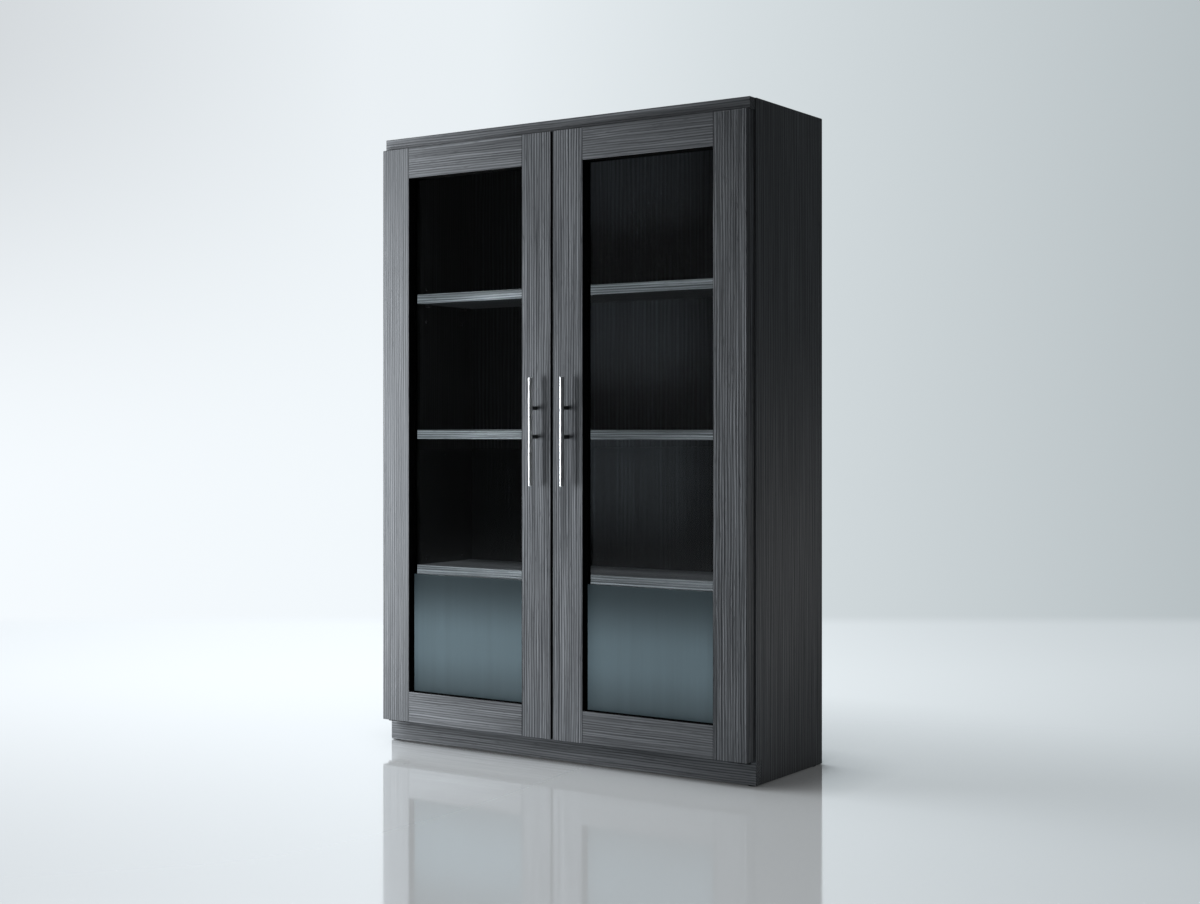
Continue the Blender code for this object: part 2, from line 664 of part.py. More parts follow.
class Door:
    """One framed glass door, hung on an empty that stands on its pivot axis."""

    def __init__(self, side_name):
        self.name = f"{side_name}_door"
        self.side = SIDES[side_name]
        self.pivot = bpy.data.objects.new(f"{self.name}_pivot", None)
        self.pivot.location = (self.side * PIVOT_X, PIVOT_Y, DOOR_BOTTOM)
        PARTS.objects.link(self.pivot)

    def span(self, inner, outer):
        """Return the low and high X of two distances from the cabinet's middle."""
        return sorted((self.side * inner, self.side * outer))

    def board(self, piece, inner, outer, bottom, top):
        """Make one frame board at the door's full thickness."""
        low, high = self.span(inner, outer)
        return make_board(f"{self.name}_{piece}", (low, DOOR_FRONT_Y, bottom), (high, DOOR_BACK_Y, top),
                          "charcoal_decor", self.pivot)

    def rod(self, shape, x, start, end, radius, sides):
        """Add an upright rod at a distance from the middle and at the pivot's depth."""
        add_rod(shape, (self.side * x, PIVOT_Y, start), (self.side * x, PIVOT_Y, end), radius, sides)

    def make_hinge_stile(self):
        """Make the outer stile, rebated for the glass and bored for both pivots."""
        edge = DOOR_OUTER - STILE_WIDTH
        stile = self.board("hinge_stile", edge, DOOR_OUTER, DOOR_BOTTOM, DOOR_TOP)
        self.rebate_stile(stile, edge - OVERCUT, edge + REBATE_WIDTH)

        def pivot_bores(shape):
            bush = hole_radius(bush_outer_radius(), SEAT_GAP, ROUND_SIDES)
            pin = hole_radius(PIVOT_PIN_RADIUS, SEAT_GAP, ROUND_SIDES)
            self.rod(shape, PIVOT_X, DOOR_BOTTOM - OVERCUT, self.bush_top() + SEAT_GAP, bush, ROUND_SIDES)
            self.rod(shape, PIVOT_X, DOOR_TOP - PIVOT_PIN_ROOT - SEAT_GAP, DOOR_TOP + OVERCUT,
                     pin, ROUND_SIDES)

        cut(stile, "pivot_bores", pivot_bores)

    def make_handle_stile(self):
        """Make the inner stile, rebated for the glass and bored for the handle screws."""
        edge = DOOR_INNER + STILE_WIDTH
        stile = self.board("handle_stile", DOOR_INNER, edge, DOOR_BOTTOM, DOOR_TOP)
        self.rebate_stile(stile, edge - REBATE_WIDTH, edge + OVERCUT)

        def screw_bores(shape):
            radius = hole_radius(HANDLE_SCREW_RADIUS, SEAT_GAP, SMALL_ROUND_SIDES)
            for height in self.post_heights().values():
                add_rod(shape, (self.side * HANDLE_X, DOOR_FRONT_Y - OVERCUT, height),
                        (self.side * HANDLE_X, DOOR_BACK_Y + OVERCUT, height), radius, SMALL_ROUND_SIDES)

        cut(stile, "screw_bores", screw_bores)

    def rebate_stile(self, stile, inner, outer):
        """Cut the glass rebate along the whole back edge of a stile."""
        low, high = self.span(inner, outer)

        def fill(shape):
            add_box(shape, (low, LIP_BACK_Y, DOOR_BOTTOM - OVERCUT),
                    (high, DOOR_BACK_Y + OVERCUT, DOOR_TOP + OVERCUT))

        cut(stile, "glass_rebate", fill)

    def make_rail(self, piece, bottom, top, rebate_bottom, rebate_top):
        """Make a rail whose back half laps into both stiles' rebates."""
        shoulder_low = DOOR_INNER + STILE_WIDTH
        shoulder_high = DOOR_OUTER - STILE_WIDTH
        tongue = REBATE_WIDTH - SEAT_GAP
        rail = self.board(piece, shoulder_low - tongue, shoulder_high + tongue, bottom, top)

        def shoulders(shape):
            for inner, outer in ((shoulder_low - tongue - OVERCUT, shoulder_low + SHOULDER_GAP),
                                 (shoulder_high - SHOULDER_GAP, shoulder_high + tongue + OVERCUT)):
                low, high = self.span(inner, outer)
                add_box(shape, (low, DOOR_FRONT_Y - OVERCUT, bottom - OVERCUT),
                        (high, LIP_BACK_Y + SEAT_GAP, top + OVERCUT))

        def glass_rebate(shape):
            low, high = self.span(shoulder_low - tongue - OVERCUT, shoulder_high + tongue + OVERCUT)
            add_box(shape, (low, LIP_BACK_Y, rebate_bottom), (high, DOOR_BACK_Y + OVERCUT, rebate_top))

        cut(rail, "shoulders", shoulders)
        cut(rail, "glass_rebate", glass_rebate)

    def make_rails(self):
        """Make the bottom and the top rail."""
        self.make_rail("bottom_rail", DOOR_BOTTOM, OPENING_BOTTOM,
                       OPENING_BOTTOM - REBATE_WIDTH, OPENING_BOTTOM + OVERCUT)
        self.make_rail("top_rail", OPENING_TOP, DOOR_TOP,
                       OPENING_TOP - OVERCUT, OPENING_TOP + REBATE_WIDTH)

    def glass_span(self):
        """Return the inner and outer distance of the glass from the cabinet's middle."""
        reach = REBATE_WIDTH - GLASS_SIDE_GAP
        return DOOR_INNER + STILE_WIDTH - reach, DOOR_OUTER - STILE_WIDTH + reach

    def make_panes(self):
        """Make the clear pane and the frosted pane below it, which meet at the lower shelf."""
        low, high = self.span(*self.glass_span())
        floor = OPENING_BOTTOM - REBATE_WIDTH + SEAT_GAP
        ceiling = OPENING_TOP + REBATE_WIDTH - GLASS_SIDE_GAP
        panes = (("frosted_pane", "frosted_glass", floor, PANE_JOINT),
                 ("clear_pane", "clear_glass", PANE_JOINT + SEAT_GAP, ceiling))
        for piece, material, bottom, top in panes:
            make_board(f"{self.name}_{piece}", (low, GLASS_FRONT_Y, bottom), (high, GLASS_BACK_Y, top),
                       material, self.pivot, GLASS_EDGE_ROUND)

    def make_gasket(self):
        """Make the ring of glazing gasket that holds the panes from behind."""
        inner, outer = self.glass_span()
        low, high = self.span(inner, outer)
        edge = REBATE_WIDTH - SEAT_GAP
        gasket = make_board(f"{self.name}_glazing_gasket",
                            (low, GLASS_BACK_Y + SEAT_GAP, OPENING_BOTTOM - edge),
                            (high, DOOR_BACK_Y - SEAT_GAP, OPENING_TOP + edge),
                            "black_rubber", self.pivot)

        def sight_opening(shape):
            low, high = self.span(DOOR_INNER + STILE_WIDTH + GASKET_SIGHT_LINE,
                                  DOOR_OUTER - STILE_WIDTH - GASKET_SIGHT_LINE)
            add_box(shape, (low, GLASS_BACK_Y - OVERCUT, OPENING_BOTTOM + GASKET_SIGHT_LINE),
                    (high, DOOR_BACK_Y + OVERCUT, OPENING_TOP - GASKET_SIGHT_LINE))

        cut(gasket, "sight_opening", sight_opening)

    def post_heights(self):
        """Return the height of each handle post by name."""
        upper = HANDLE_CENTRE_HEIGHT + HANDLE_UPPER_POST_RISE
        return {"upper": upper, "lower": upper - HANDLE_POST_SPACING}

    def make_handle_bar(self):
        """Make the upright bar, bored behind for the spigots of its posts."""
        x = self.side * HANDLE_X
        shape = bmesh.new()
        add_rod(shape, (x, HANDLE_Y, HANDLE_CENTRE_HEIGHT - HANDLE_LENGTH / 2),
                (x, HANDLE_Y, HANDLE_CENTRE_HEIGHT + HANDLE_LENGTH / 2), HANDLE_BAR_RADIUS, BAR_SIDES)
        bar = finish_part(to_object(shape, f"{self.name}_handle_bar", PARTS), "polished_steel", self.pivot)
        bevel = bar.modifiers.new("broken_ends", "BEVEL")
        bevel.width = HANDLE_BAR_ROUND
        bevel.segments = 1
        bevel.limit_method = "ANGLE"
        bevel.angle_limit = pi / 3

        def spigot_bores(shape):
            radius = hole_radius(HANDLE_SPIGOT_RADIUS, SEAT_GAP, SMALL_ROUND_SIDES)
            for height in self.post_heights().values():
                depth = self.spigot_tip() - SEAT_GAP
                add_rod(shape, (x, depth, height), (x, HANDLE_Y + HANDLE_BAR_RADIUS + OVERCUT, height),
                        radius, SMALL_ROUND_SIDES)

        cut(bar, "spigot_bores", spigot_bores)

    def spigot_tip(self):
        """Return the depth that a post's spigot reaches inside the bar."""
        return HANDLE_Y + HANDLE_BAR_RADIUS - HANDLE_SPIGOT_LENGTH

    def make_handle_post(self, place, height):
        """Make one post, coped to the bar, with a spigot in front and a screw bore behind."""
        x = self.side * HANDLE_X
        foot = DOOR_FRONT_Y - SEAT_GAP
        shape = bmesh.new()
        add_rod(shape, (x, HANDLE_Y, height), (x, foot, height), HANDLE_POST_RADIUS, ROUND_SIDES)
        post = finish_part(to_object(shape, f"{self.name}_{place}_handle_post", PARTS),
                           "black_steel", self.pivot)

        def saddle(shape):
            radius = HANDLE_BAR_RADIUS + SEAT_GAP
            reach = HANDLE_POST_RADIUS + OVERCUT
            add_rod(shape, (x, HANDLE_Y, height - reach), (x, HANDLE_Y, height + reach), radius, BAR_SIDES)

        def spigot(shape):
            root = HANDLE_Y + HANDLE_BAR_RADIUS + HANDLE_SPIGOT_RADIUS
            add_rod(shape, (x, self.spigot_tip(), height), (x, root, height),
                    HANDLE_SPIGOT_RADIUS, SMALL_ROUND_SIDES)

        def screw_bore(shape):
            radius = hole_radius(HANDLE_SCREW_RADIUS, SEAT_GAP, SMALL_ROUND_SIDES)
            add_rod(shape, (x, foot - HANDLE_SCREW_GRIP - SEAT_GAP, height), (x, foot + OVERCUT, height),
                    radius, SMALL_ROUND_SIDES)

        cut(post, "saddle", saddle)
        join(post, "spigot", spigot)
        cut(post, "screw_bore", screw_bore)

    def make_handle_screw(self, place, height):
        """Make the screw that holds a post from behind the stile."""
        x = self.side * HANDLE_X
        head = DOOR_BACK_Y + SEAT_GAP
        shape = bmesh.new()
        add_rod(shape, (x, head, height), (x, head + SCREW_HEAD_HEIGHT, height),
                SCREW_HEAD_RADIUS, SMALL_ROUND_SIDES)
        screw = finish_part(to_object(shape, f"{self.name}_{place}_handle_screw", PARTS),
                            "zinc_steel", self.pivot)

        def shank(shape):
            tip = DOOR_FRONT_Y - SEAT_GAP - HANDLE_SCREW_GRIP
            add_rod(shape, (x, tip, height), (x, head + SCREW_HEAD_HEIGHT / 2, height),
                    HANDLE_SCREW_RADIUS, SMALL_ROUND_SIDES)

        def slot(shape):
            top = head + SCREW_HEAD_HEIGHT
            reach = SCREW_HEAD_RADIUS + OVERCUT
            add_box(shape, (x - reach, top - SCREW_SLOT_DEPTH, height - SCREW_SLOT_WIDTH / 2),
                    (x + reach, top + OVERCUT, height + SCREW_SLOT_WIDTH / 2))

        join(screw, "shank", shank)
        cut(screw, "slot", slot)

    def make_handle(self):
        """Make the bar with its posts and screws."""
        self.make_handle_bar()
        for place, height in self.post_heights().items():
            self.make_handle_post(place, height)
            self.make_handle_screw(place, height)

    def bush_top(self):
        """Return the height of the lower bush's upper end inside the stile."""
        return PIVOT_PLATE_TOP + PIVOT_PIN_REACH + SEAT_GAP

    def make_upper_pin(self):
        """Make the upper pivot pin, with the collar that rests on the stile."""
        shape = bmesh.new()
        self.rod(shape, PIVOT_X, DOOR_TOP - PIVOT_PIN_ROOT, FASCIA_UNDERSIDE + PIVOT_PIN_REACH,
                 PIVOT_PIN_RADIUS, ROUND_SIDES)
        pin = finish_part(to_object(shape, f"{self.name}_upper_pivot_pin", PARTS), "zinc_steel", self.pivot)

        def collar(shape):
            bottom = DOOR_TOP + SEAT_GAP
            self.rod(shape, PIVOT_X, bottom, bottom + PIVOT_COLLAR_HEIGHT, bush_outer_radius(), ROUND_SIDES)

        join(pin, "collar", collar)

    def make_lower_bush(self):
        """Make the flanged bush that turns on the bracket's upright pin."""
        bottom = PIVOT_PLATE_TOP + SEAT_GAP
        bush, bore = make_bush(f"{self.name}_lower_pivot_bush", self.side, bottom, self.bush_top(),
                               self.pivot)

        def flange(shape):
            self.rod(shape, PIVOT_X, bottom, DOOR_BOTTOM - SEAT_GAP,
                     bush_outer_radius() + BUSH_FLANGE_WIDTH, ROUND_SIDES)

        join(bush, "flange", flange)
        cut(bush, "bore", bore)

    def make_strike(self):
        """Make the strike plate that the magnetic catch holds."""
        low, high = self.span(DOOR_INNER, DOOR_INNER + STRIKE_WIDTH)
        strike = make_board(f"{self.name}_strike_plate",
                            (low, DOOR_BACK_Y + SEAT_GAP, STRIKE_MIDDLE - STRIKE_HEIGHT / 2),
                            (high, STRIKE_BACK_Y, STRIKE_MIDDLE + STRIKE_HEIGHT / 2),
                            "zinc_steel", self.pivot, STRIKE_EDGE_ROUND)

        def screw_hole(shape):
            x = self.side * STRIKE_X
            add_rod(shape, (x, DOOR_BACK_Y - OVERCUT, STRIKE_MIDDLE),
                    (x, STRIKE_BACK_Y + OVERCUT, STRIKE_MIDDLE), STRIKE_HOLE_RADIUS, SMALL_ROUND_SIDES)

        cut(strike, "screw_hole", screw_hole)

    def make(self):
        """Make every piece of the door."""
        self.make_hinge_stile()
        self.make_handle_stile()
        self.make_rails()
        self.make_panes()
        self.make_gasket()
        self.make_handle()
        self.make_upper_pin()
        self.make_lower_bush()
        self.make_strike()


def make_carcass():
    """Make every piece that stands still."""
    for side_name in SIDES:
        make_side_panel(side_name)
        make_lower_bracket(side_name)
        make_upper_bush(side_name)
    make_top_panel()
    make_top_fascia()
    make_bottom_panel()
    make_plinth()
    make_back_panel()
    make_shelves()
    make_shelf_pins()
    make_glides()
    make_catch()


make_carcass()
for door_side in SIDES:
    Door(door_side).make()
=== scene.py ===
"""Looks of a two-door display cabinet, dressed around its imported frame."""

import json
import logging
import math
from dataclasses import dataclass
from enum import Enum
from typing import Iterable, Optional, Sequence, Union

import bmesh
import bpy
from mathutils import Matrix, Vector

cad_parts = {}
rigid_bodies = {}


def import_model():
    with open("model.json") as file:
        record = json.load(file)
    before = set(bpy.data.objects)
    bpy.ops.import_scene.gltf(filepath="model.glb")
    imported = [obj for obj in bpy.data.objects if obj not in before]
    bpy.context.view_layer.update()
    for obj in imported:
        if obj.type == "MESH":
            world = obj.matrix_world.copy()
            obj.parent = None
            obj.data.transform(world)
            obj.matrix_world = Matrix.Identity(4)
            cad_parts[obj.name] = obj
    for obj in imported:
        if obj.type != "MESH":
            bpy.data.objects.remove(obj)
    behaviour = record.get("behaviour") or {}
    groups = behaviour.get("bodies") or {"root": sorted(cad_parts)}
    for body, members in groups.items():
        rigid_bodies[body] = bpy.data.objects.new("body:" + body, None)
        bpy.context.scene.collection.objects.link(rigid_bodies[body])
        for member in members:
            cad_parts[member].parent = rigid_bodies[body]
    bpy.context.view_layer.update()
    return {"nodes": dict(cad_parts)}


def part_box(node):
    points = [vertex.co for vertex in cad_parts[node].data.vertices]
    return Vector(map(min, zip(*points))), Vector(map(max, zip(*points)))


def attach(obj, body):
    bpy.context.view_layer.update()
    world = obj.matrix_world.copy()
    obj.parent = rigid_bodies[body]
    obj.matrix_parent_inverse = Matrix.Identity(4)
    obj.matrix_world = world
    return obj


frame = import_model()

Colour = tuple[float, float, float]
Point = tuple[float, float, float]
Socket = bpy.types.NodeSocket
Value = Union[float, Sequence[float], Socket]
# A range and the range that it is carried to: low, high, new low, new high.
Range = tuple[float, float, float, float]

PHOTO_WIDTH_PX = 1200
MILLIMETRE = 0.001
UP = Vector((0.0, 0.0, 1.0))
SHARP_ANGLE = math.radians(40.0)
NOISE_SPAN = (0.3, 0.7)
SHELVES = ("upper_shelf", "middle_shelf", "lower_shelf")
FRAME_PIECES = ("hinge_stile", "handle_stile", "top_rail", "bottom_rail")

log = logging.getLogger("display_cabinet")


class Grain(Enum):
    """The world axis that the wood grain of a board runs along."""

    ACROSS = 0
    UPRIGHT = 2


class Side(Enum):
    """The left or right half of the cabinet, with the sign of its X places."""

    LEFT = -1
    RIGHT = 1

    @property
    def word(self) -> str:
        """Return the side's name as the frame's nodes spell it."""
        return self.name.lower()


class Body(Enum):
    """The rigid bodies of the frame."""

    CABINET = "cabinet"
    LEFT_DOOR = "left_door"
    RIGHT_DOOR = "right_door"


class ShaderGraph:
    """The node tree of a material or world, drawn with short calls."""

    def __init__(self, owner: Union[bpy.types.Material, bpy.types.World]) -> None:
        """Empty the owner's node tree.

        Args:
            owner: The material or world to draw for.
        """
        owner.use_nodes = True
        self.owner = owner
        self.tree = owner.node_tree
        self.tree.nodes.clear()

    @classmethod
    def material(cls, name: str) -> "ShaderGraph":
        """Return the graph of a new material."""
        return cls(bpy.data.materials.new(name))

    def add(self, kind: str, inputs: Optional[dict[Union[str, int], Value]] = None,
            **settings: object) -> bpy.types.Node:
        """Add a node, set its options and fill or link its sockets.

        Args:
            kind: The node's type without its ShaderNode prefix.
            inputs: Socket name or number to a constant or to another node's output.
            settings: Options of the node, such as operation.

        Returns:
            The new node.
        """
        node = self.tree.nodes.new(f"ShaderNode{kind}")
        for option, choice in settings.items():
            setattr(node, option, choice)
        for key, value in (inputs or {}).items():
            if isinstance(value, Socket):
                self.tree.links.new(value, node.inputs[key])
            else:
                node.inputs[key].default_value = value
        return node

    def coords(self) -> Socket:
        """Return the coordinates of the piece, which are the frame's at rest."""
        return self.add("TexCoord").outputs["Object"]

    def math(self, operation: str, first: Value, second: Value = 0.0, clamp: bool = False) -> Socket:
        """Return the result of one arithmetic node.

        Args:
            operation: The Math node's operation.
            first: Its first operand.
            second: Its second operand.
            clamp: Whether the result is kept between 0 and 1.

        Returns:
            The result's socket.
        """
        node = self.add("Math", {0: first, 1: second}, operation=operation, use_clamp=clamp)
        return node.outputs[0]

    def weighted(self, *shares: tuple[Socket, float]) -> Socket:
        """Return the sum of some values, each times its weight.

        Args:
            shares: Each value's socket with its weight.

        Returns:
            The sum's socket.
        """
        parts = [self.math("MULTIPLY", value, weight) for value, weight in shares]
        total = parts[0]
        for part in parts[1:]:
            total = self.math("ADD", total, part)
        return total

    def dot(self, vector: Socket, direction: Sequence[float]) -> Socket:
        """Return how far a vector reaches along a direction."""
        node = self.add("VectorMath", {0: vector, 1: tuple(direction)}, operation="DOT_PRODUCT")
        return node.outputs["Value"]

    def scaled(self, vector: Socket, factor: Value) -> Socket:
        """Return a vector or colour times a factor."""
        return self.add("VectorMath", {0: vector, "Scale": factor}, operation="SCALE").outputs[0]

    def blended(self, factor: Socket, first: Value, second: Value) -> Socket:
        """Return a colour between two.

        Args:
            factor: How far the colour is from the first to the second.
            first: The colour at factor 0.
            second: The colour at factor 1.

        Returns:
            The colour's socket.
        """
        node = self.add("Mix", {"Factor": factor}, data_type="RGBA")
        for name, value in (("A", first), ("B", second)):
            socket = next(item for item in node.inputs if item.name == name and item.type == "RGBA")
            if isinstance(value, Socket):
                self.tree.links.new(value, socket)
            else:
                socket.default_value = value
        return next(item for item in node.outputs if item.type == "RGBA")

    def remap(self, value: Socket, low: float, high: float, new_low: float, new_high: float,
              smooth: bool = False) -> Socket:
        """Return a value carried from one range to another, kept inside it.

        Args:
            value: The value to carry over.
            low: Start of its own range.
            high: End of its own range.
            new_low: Start of the new range.
            new_high: End of the new range.
            smooth: Whether the change eases in and out.

        Returns:
            The carried value's socket.
        """
        kind = "SMOOTHSTEP" if smooth else "LINEAR"
        node = self.add("MapRange", {"Value": value, "From Min": low, "From Max": high,
                                     "To Min": new_low, "To Max": new_high},
                        interpolation_type=kind, clamp=True)
        return node.outputs["Result"]

    def ramp(self, value: Socket, stops: Iterable[tuple[float, Colour]]) -> Socket:
        """Return a colour looked up along a ramp.

        Args:
            value: The place along the ramp.
            stops: Place and colour of each stop, in order.

        Returns:
            The colour's socket.
        """
        node = self.add("ValToRGB", {"Fac": value})
        elements = node.color_ramp.elements
        stops = list(stops)
        while len(elements) < len(stops):
            elements.new(0.5)
        for element, (place, colour) in zip(elements, stops):
            element.position = place
            element.color = opaque(colour)
        return node.outputs["Color"]

    def sight(self) -> tuple[Socket, Socket]:
        """Return whether a ray is sight itself, straight or through glass, and whether it is a mirror image.

        Returns:
            Both answers as sockets, 1 for yes and 0 for no.
        """
        path = self.add("LightPath").outputs
        scattered = self.math("GREATER_THAN", path["Diffuse Depth"], 0.5)
        mirrored = self.math("GREATER_THAN", path["Glossy Depth"], 0.5)
        clean = self.math("MULTIPLY", path["Is Transmission Ray"], self.math("SUBTRACT", 1.0, scattered))
        through = self.math("MULTIPLY", clean, self.math("SUBTRACT", 1.0, mirrored))
        seen = self.math("MAXIMUM", path["Is Camera Ray"], through)
        image = self.math("MAXIMUM", path["Is Glossy Ray"], self.math("MULTIPLY", clean, mirrored))
        return seen, image

    def noise(self, coords: Socket, scale: Sequence[float], detail: float, roughness: float = 0.5,
              shift: Point = (0.0, 0.0, 0.0)) -> Socket:
        """Return noise that is drawn out along the axes with small scales.

        Args:
            coords: The coordinates to read it at.
            scale: Features in a metre along each axis.
            detail: Finer layers that are added.
            roughness: Share that each finer layer keeps.
            shift: Offset that tells one noise from another.

        Returns:
            The noise value's socket.
        """
        place = self.add("Mapping", {"Vector": coords, "Location": shift, "Scale": tuple(scale)})
        noise = self.add("TexNoise", {"Vector": place.outputs[0], "Scale": 1.0, "Detail": detail,
                                      "Roughness": roughness})
        return noise.outputs["Fac"]

    def bump(self, height: Socket, depth: float) -> Socket:
        """Return a normal bent by a height, whose full range is the depth in metres."""
        return self.add("Bump", {"Height": height, "Distance": depth, "Strength": 1.0}).outputs["Normal"]

    def close(self, shader: Socket, kind: str = "Material") -> None:
        """Link the last shader to the tree's output."""
        self.tree.links.new(shader, self.add(f"Output{kind}").inputs["Surface"])

    def surface(self, **sockets: Value) -> bpy.types.Material:
        """Close the material with one Principled shader.

        Args:
            sockets: Socket names, with an underscore for each space, and their values.

        Returns:
            The finished material.
        """
        named = {key.replace("_", " "): value for key, value in sockets.items()}
        self.close(self.add("BsdfPrincipled", named).outputs[0])
        return self.owner


def opaque(colour: Colour) -> tuple[float, float, float, float]:
    """Return a colour with full alpha, as colour sockets take it."""
    return (*colour, 1.0)


def times(colour: Colour, factor: float) -> Colour:
    """Return a colour with each part multiplied."""
    return tuple(part * factor for part in colour)


@dataclass(frozen=True)
class InnerFace:
    """The faces of a board that look inside the cabinet or into a gap, which get painted shade.

    The board's other faces lie further along the outward direction than the edge.
    """

    outward: Point
    edge: float
    share: float
    fade: float = 0.5 * MILLIMETRE

    def darken(self, graph: ShaderGraph, coords: Socket, colour: Socket) -> Socket:
        """Return a decor colour with painted shade: dimmer on the inner faces.

        Args:
            graph: The node tree to draw in.
            coords: The board's coordinates.
            colour: The decor's colour on its other faces.

        Returns:
            The colour's socket.
        """
        along = graph.dot(coords, self.outward)
        return graph.scaled(colour, graph.remap(along, self.edge, self.edge + self.fade, self.share, 1.0))


@dataclass(frozen=True)
class BrushedDecor:
    """Charcoal wood decor with wire-brushed grain.

    Even brushed lines wander along the grain and fade in and out. Uneven ridges, fine fibres and short open
    pores lie over them.
    """

    name: str
    grain: Grain
    line_period: float
    inner: Optional[InnerFace] = None
    valley: Colour = (0.030, 0.031, 0.034)
    middle: Colour = (0.107, 0.1095, 0.115)
    ridge: Colour = (0.255, 0.261, 0.274)
    crest_width: float = 0.6
    crest_level: float = 0.58
    line_wander: float = 0.8
    wanders_per_metre: float = 26.0
    wander_length: float = 0.22
    fades_per_metre: float = 170.0
    fade_length: float = 0.13
    fade_strength: Range = (*NOISE_SPAN, 0.30, 1.0)
    ridges_per_metre: float = 290.0
    ridge_length: float = 0.35
    ridge_spread: Range = (0.28, 0.72, 0.0, 1.0)
    fibres_per_metre: float = 900.0
    fibre_length: float = 0.08
    fibre_spread: Range = (0.25, 0.75, 0.0, 1.0)
    pores_per_metre: float = 900.0
    pore_length: float = 0.025
    pore_shade: Range = (0.24, 0.36, 0.60, 1.0)
    patches_per_metre: float = 9.0
    patch_length: float = 0.6
    patch_tone: Range = (*NOISE_SPAN, -0.05, 0.05)
    weights: tuple[float, float, float] = (0.46, 0.32, 0.22)
    stops: tuple[float, float, float] = (0.16, 0.50, 0.84)
    roughness: Range = (0.0, 1.0, 0.72, 0.52)
    specular: float = 0.12
    relief: float = 0.0003

    def scale(self, across: float, length: float) -> tuple[float, float, float]:
        """Return the noise scales of features that are drawn out along the grain.

        Args:
            across: Features in a metre across the grain.
            length: Length of a feature along the grain.

        Returns:
            The scale along each axis.
        """
        scales = [across, across, across]
        scales[self.grain.value] = 1.0 / length
        return tuple(scales)

    def lines(self, graph: ShaderGraph, coords: Socket) -> Socket:
        """Return the brushed lines, from 0 in a groove to 1 on a crest.

        Args:
            graph: The node tree to draw in.
            coords: The board's coordinates.

        Returns:
            The lines' socket.
        """
        axes = [1.0, 1.0, 1.0]
        axes[self.grain.value] = 0.0
        across = graph.dot(coords, axes)
        bend = graph.noise(coords, self.scale(self.wanders_per_metre, self.wander_length), 2.0, 0.55,
                           (3.1, 1.7, 5.3))
        turns = graph.weighted((across, 1.0 / self.line_period), (bend, 2.0 * self.line_wander))
        wave = graph.math("SINE", graph.math("MULTIPLY", turns, 2.0 * math.pi))
        crest = graph.math("POWER", graph.remap(wave, -1.0, 1.0, 0.0, 1.0), self.crest_width)
        strength = graph.noise(coords, self.scale(self.fades_per_metre, self.fade_length), 1.0, 0.5,
                               (5.0, 3.0, 1.0))
        swing = graph.math("MULTIPLY", graph.math("SUBTRACT", crest, self.crest_level),
                           graph.remap(strength, *self.fade_strength))
        return graph.math("ADD", swing, 0.5)

    def paint(self, graph: ShaderGraph, coords: Socket) -> tuple[Socket, Socket]:
        """Draw the decor's colour and relief.

        Args:
            graph: The node tree to draw in.
            coords: The board's coordinates.

        Returns:
            The colour's socket and the relief height's socket.
        """
        ridges = graph.noise(coords, self.scale(self.ridges_per_metre, self.ridge_length), 1.0, 0.5,
                             (2.0, 6.0, 3.0))
        fibres = graph.noise(coords, self.scale(self.fibres_per_metre, self.fibre_length), 2.0, 0.6,
                             (7.0, 2.0, 9.0))
        pores = graph.noise(coords, self.scale(self.pores_per_metre, self.pore_length), 1.0, 0.5,
                            (1.0, 8.0, 4.0))
        patches = graph.noise(coords, self.scale(self.patches_per_metre, self.patch_length), 1.0, 0.5,
                              (2.0, 2.0, 6.0))
        layers = (self.lines(graph, coords), graph.remap(ridges, *self.ridge_spread),
                  graph.remap(fibres, *self.fibre_spread))
        mixed = graph.weighted(*zip(layers, self.weights))
        height = graph.math("MULTIPLY", mixed, graph.remap(pores, *self.pore_shade))
        toned = graph.math("ADD", height, graph.remap(patches, *self.patch_tone), clamp=True)
        colour = graph.ramp(toned, zip(self.stops, (self.valley, self.middle, self.ridge)))
        # Painted shade on the faces that look inside or into a gap.
        if self.inner:
            colour = self.inner.darken(graph, coords, colour)
        return colour, height

    def build(self) -> bpy.types.Material:
        """Build the decor.

        Returns:
            Its material.
        """
        graph = ShaderGraph.material(self.name)
        colour, height = self.paint(graph, graph.coords())
        return graph.surface(Base_Color=colour, Roughness=graph.remap(height, *self.roughness),
                             Normal=graph.bump(height, self.relief), Specular_IOR_Level=self.specular)


@dataclass(frozen=True)
class BackBoard:
    """Thin fibreboard with a near-black decor in front, which is painted shade, and its plain flecked face
    behind.
    """

    name: str
    decor: BrushedDecor
    core: float
    fleck: Colour = (0.095, 0.097, 0.100)
    ground: Colour = (0.052, 0.053, 0.055)
    flecks_per_metre: Point = (520.0, 520.0, 380.0)
    stops: tuple[float, float] = (0.40, 0.68)
    roughness: Range = (*NOISE_SPAN, 0.62, 0.80)
    specular: float = 0.10

    def build(self) -> bpy.types.Material:
        """Build the board's finish, whose faces part at the core's depth.

        Returns:
            Its material.
        """
        graph = ShaderGraph.material(self.name)
        coords = graph.coords()
        colour, height = self.decor.paint(graph, coords)
        flecks = graph.noise(coords, self.flecks_per_metre, 3.0, 0.65, (6.0, 4.0, 2.0))
        plain = graph.ramp(flecks, zip(self.stops, (self.ground, self.fleck)))
        depth = graph.dot(coords, (0.0, 1.0, 0.0))
        behind = graph.remap(depth, self.core, self.core + MILLIMETRE, 0.0, 1.0)
        return graph.surface(Base_Color=graph.blended(behind, colour, plain),
                             Roughness=graph.remap(flecks, *self.roughness),
                             Normal=graph.bump(height, self.decor.relief),
                             Specular_IOR_Level=self.specular)


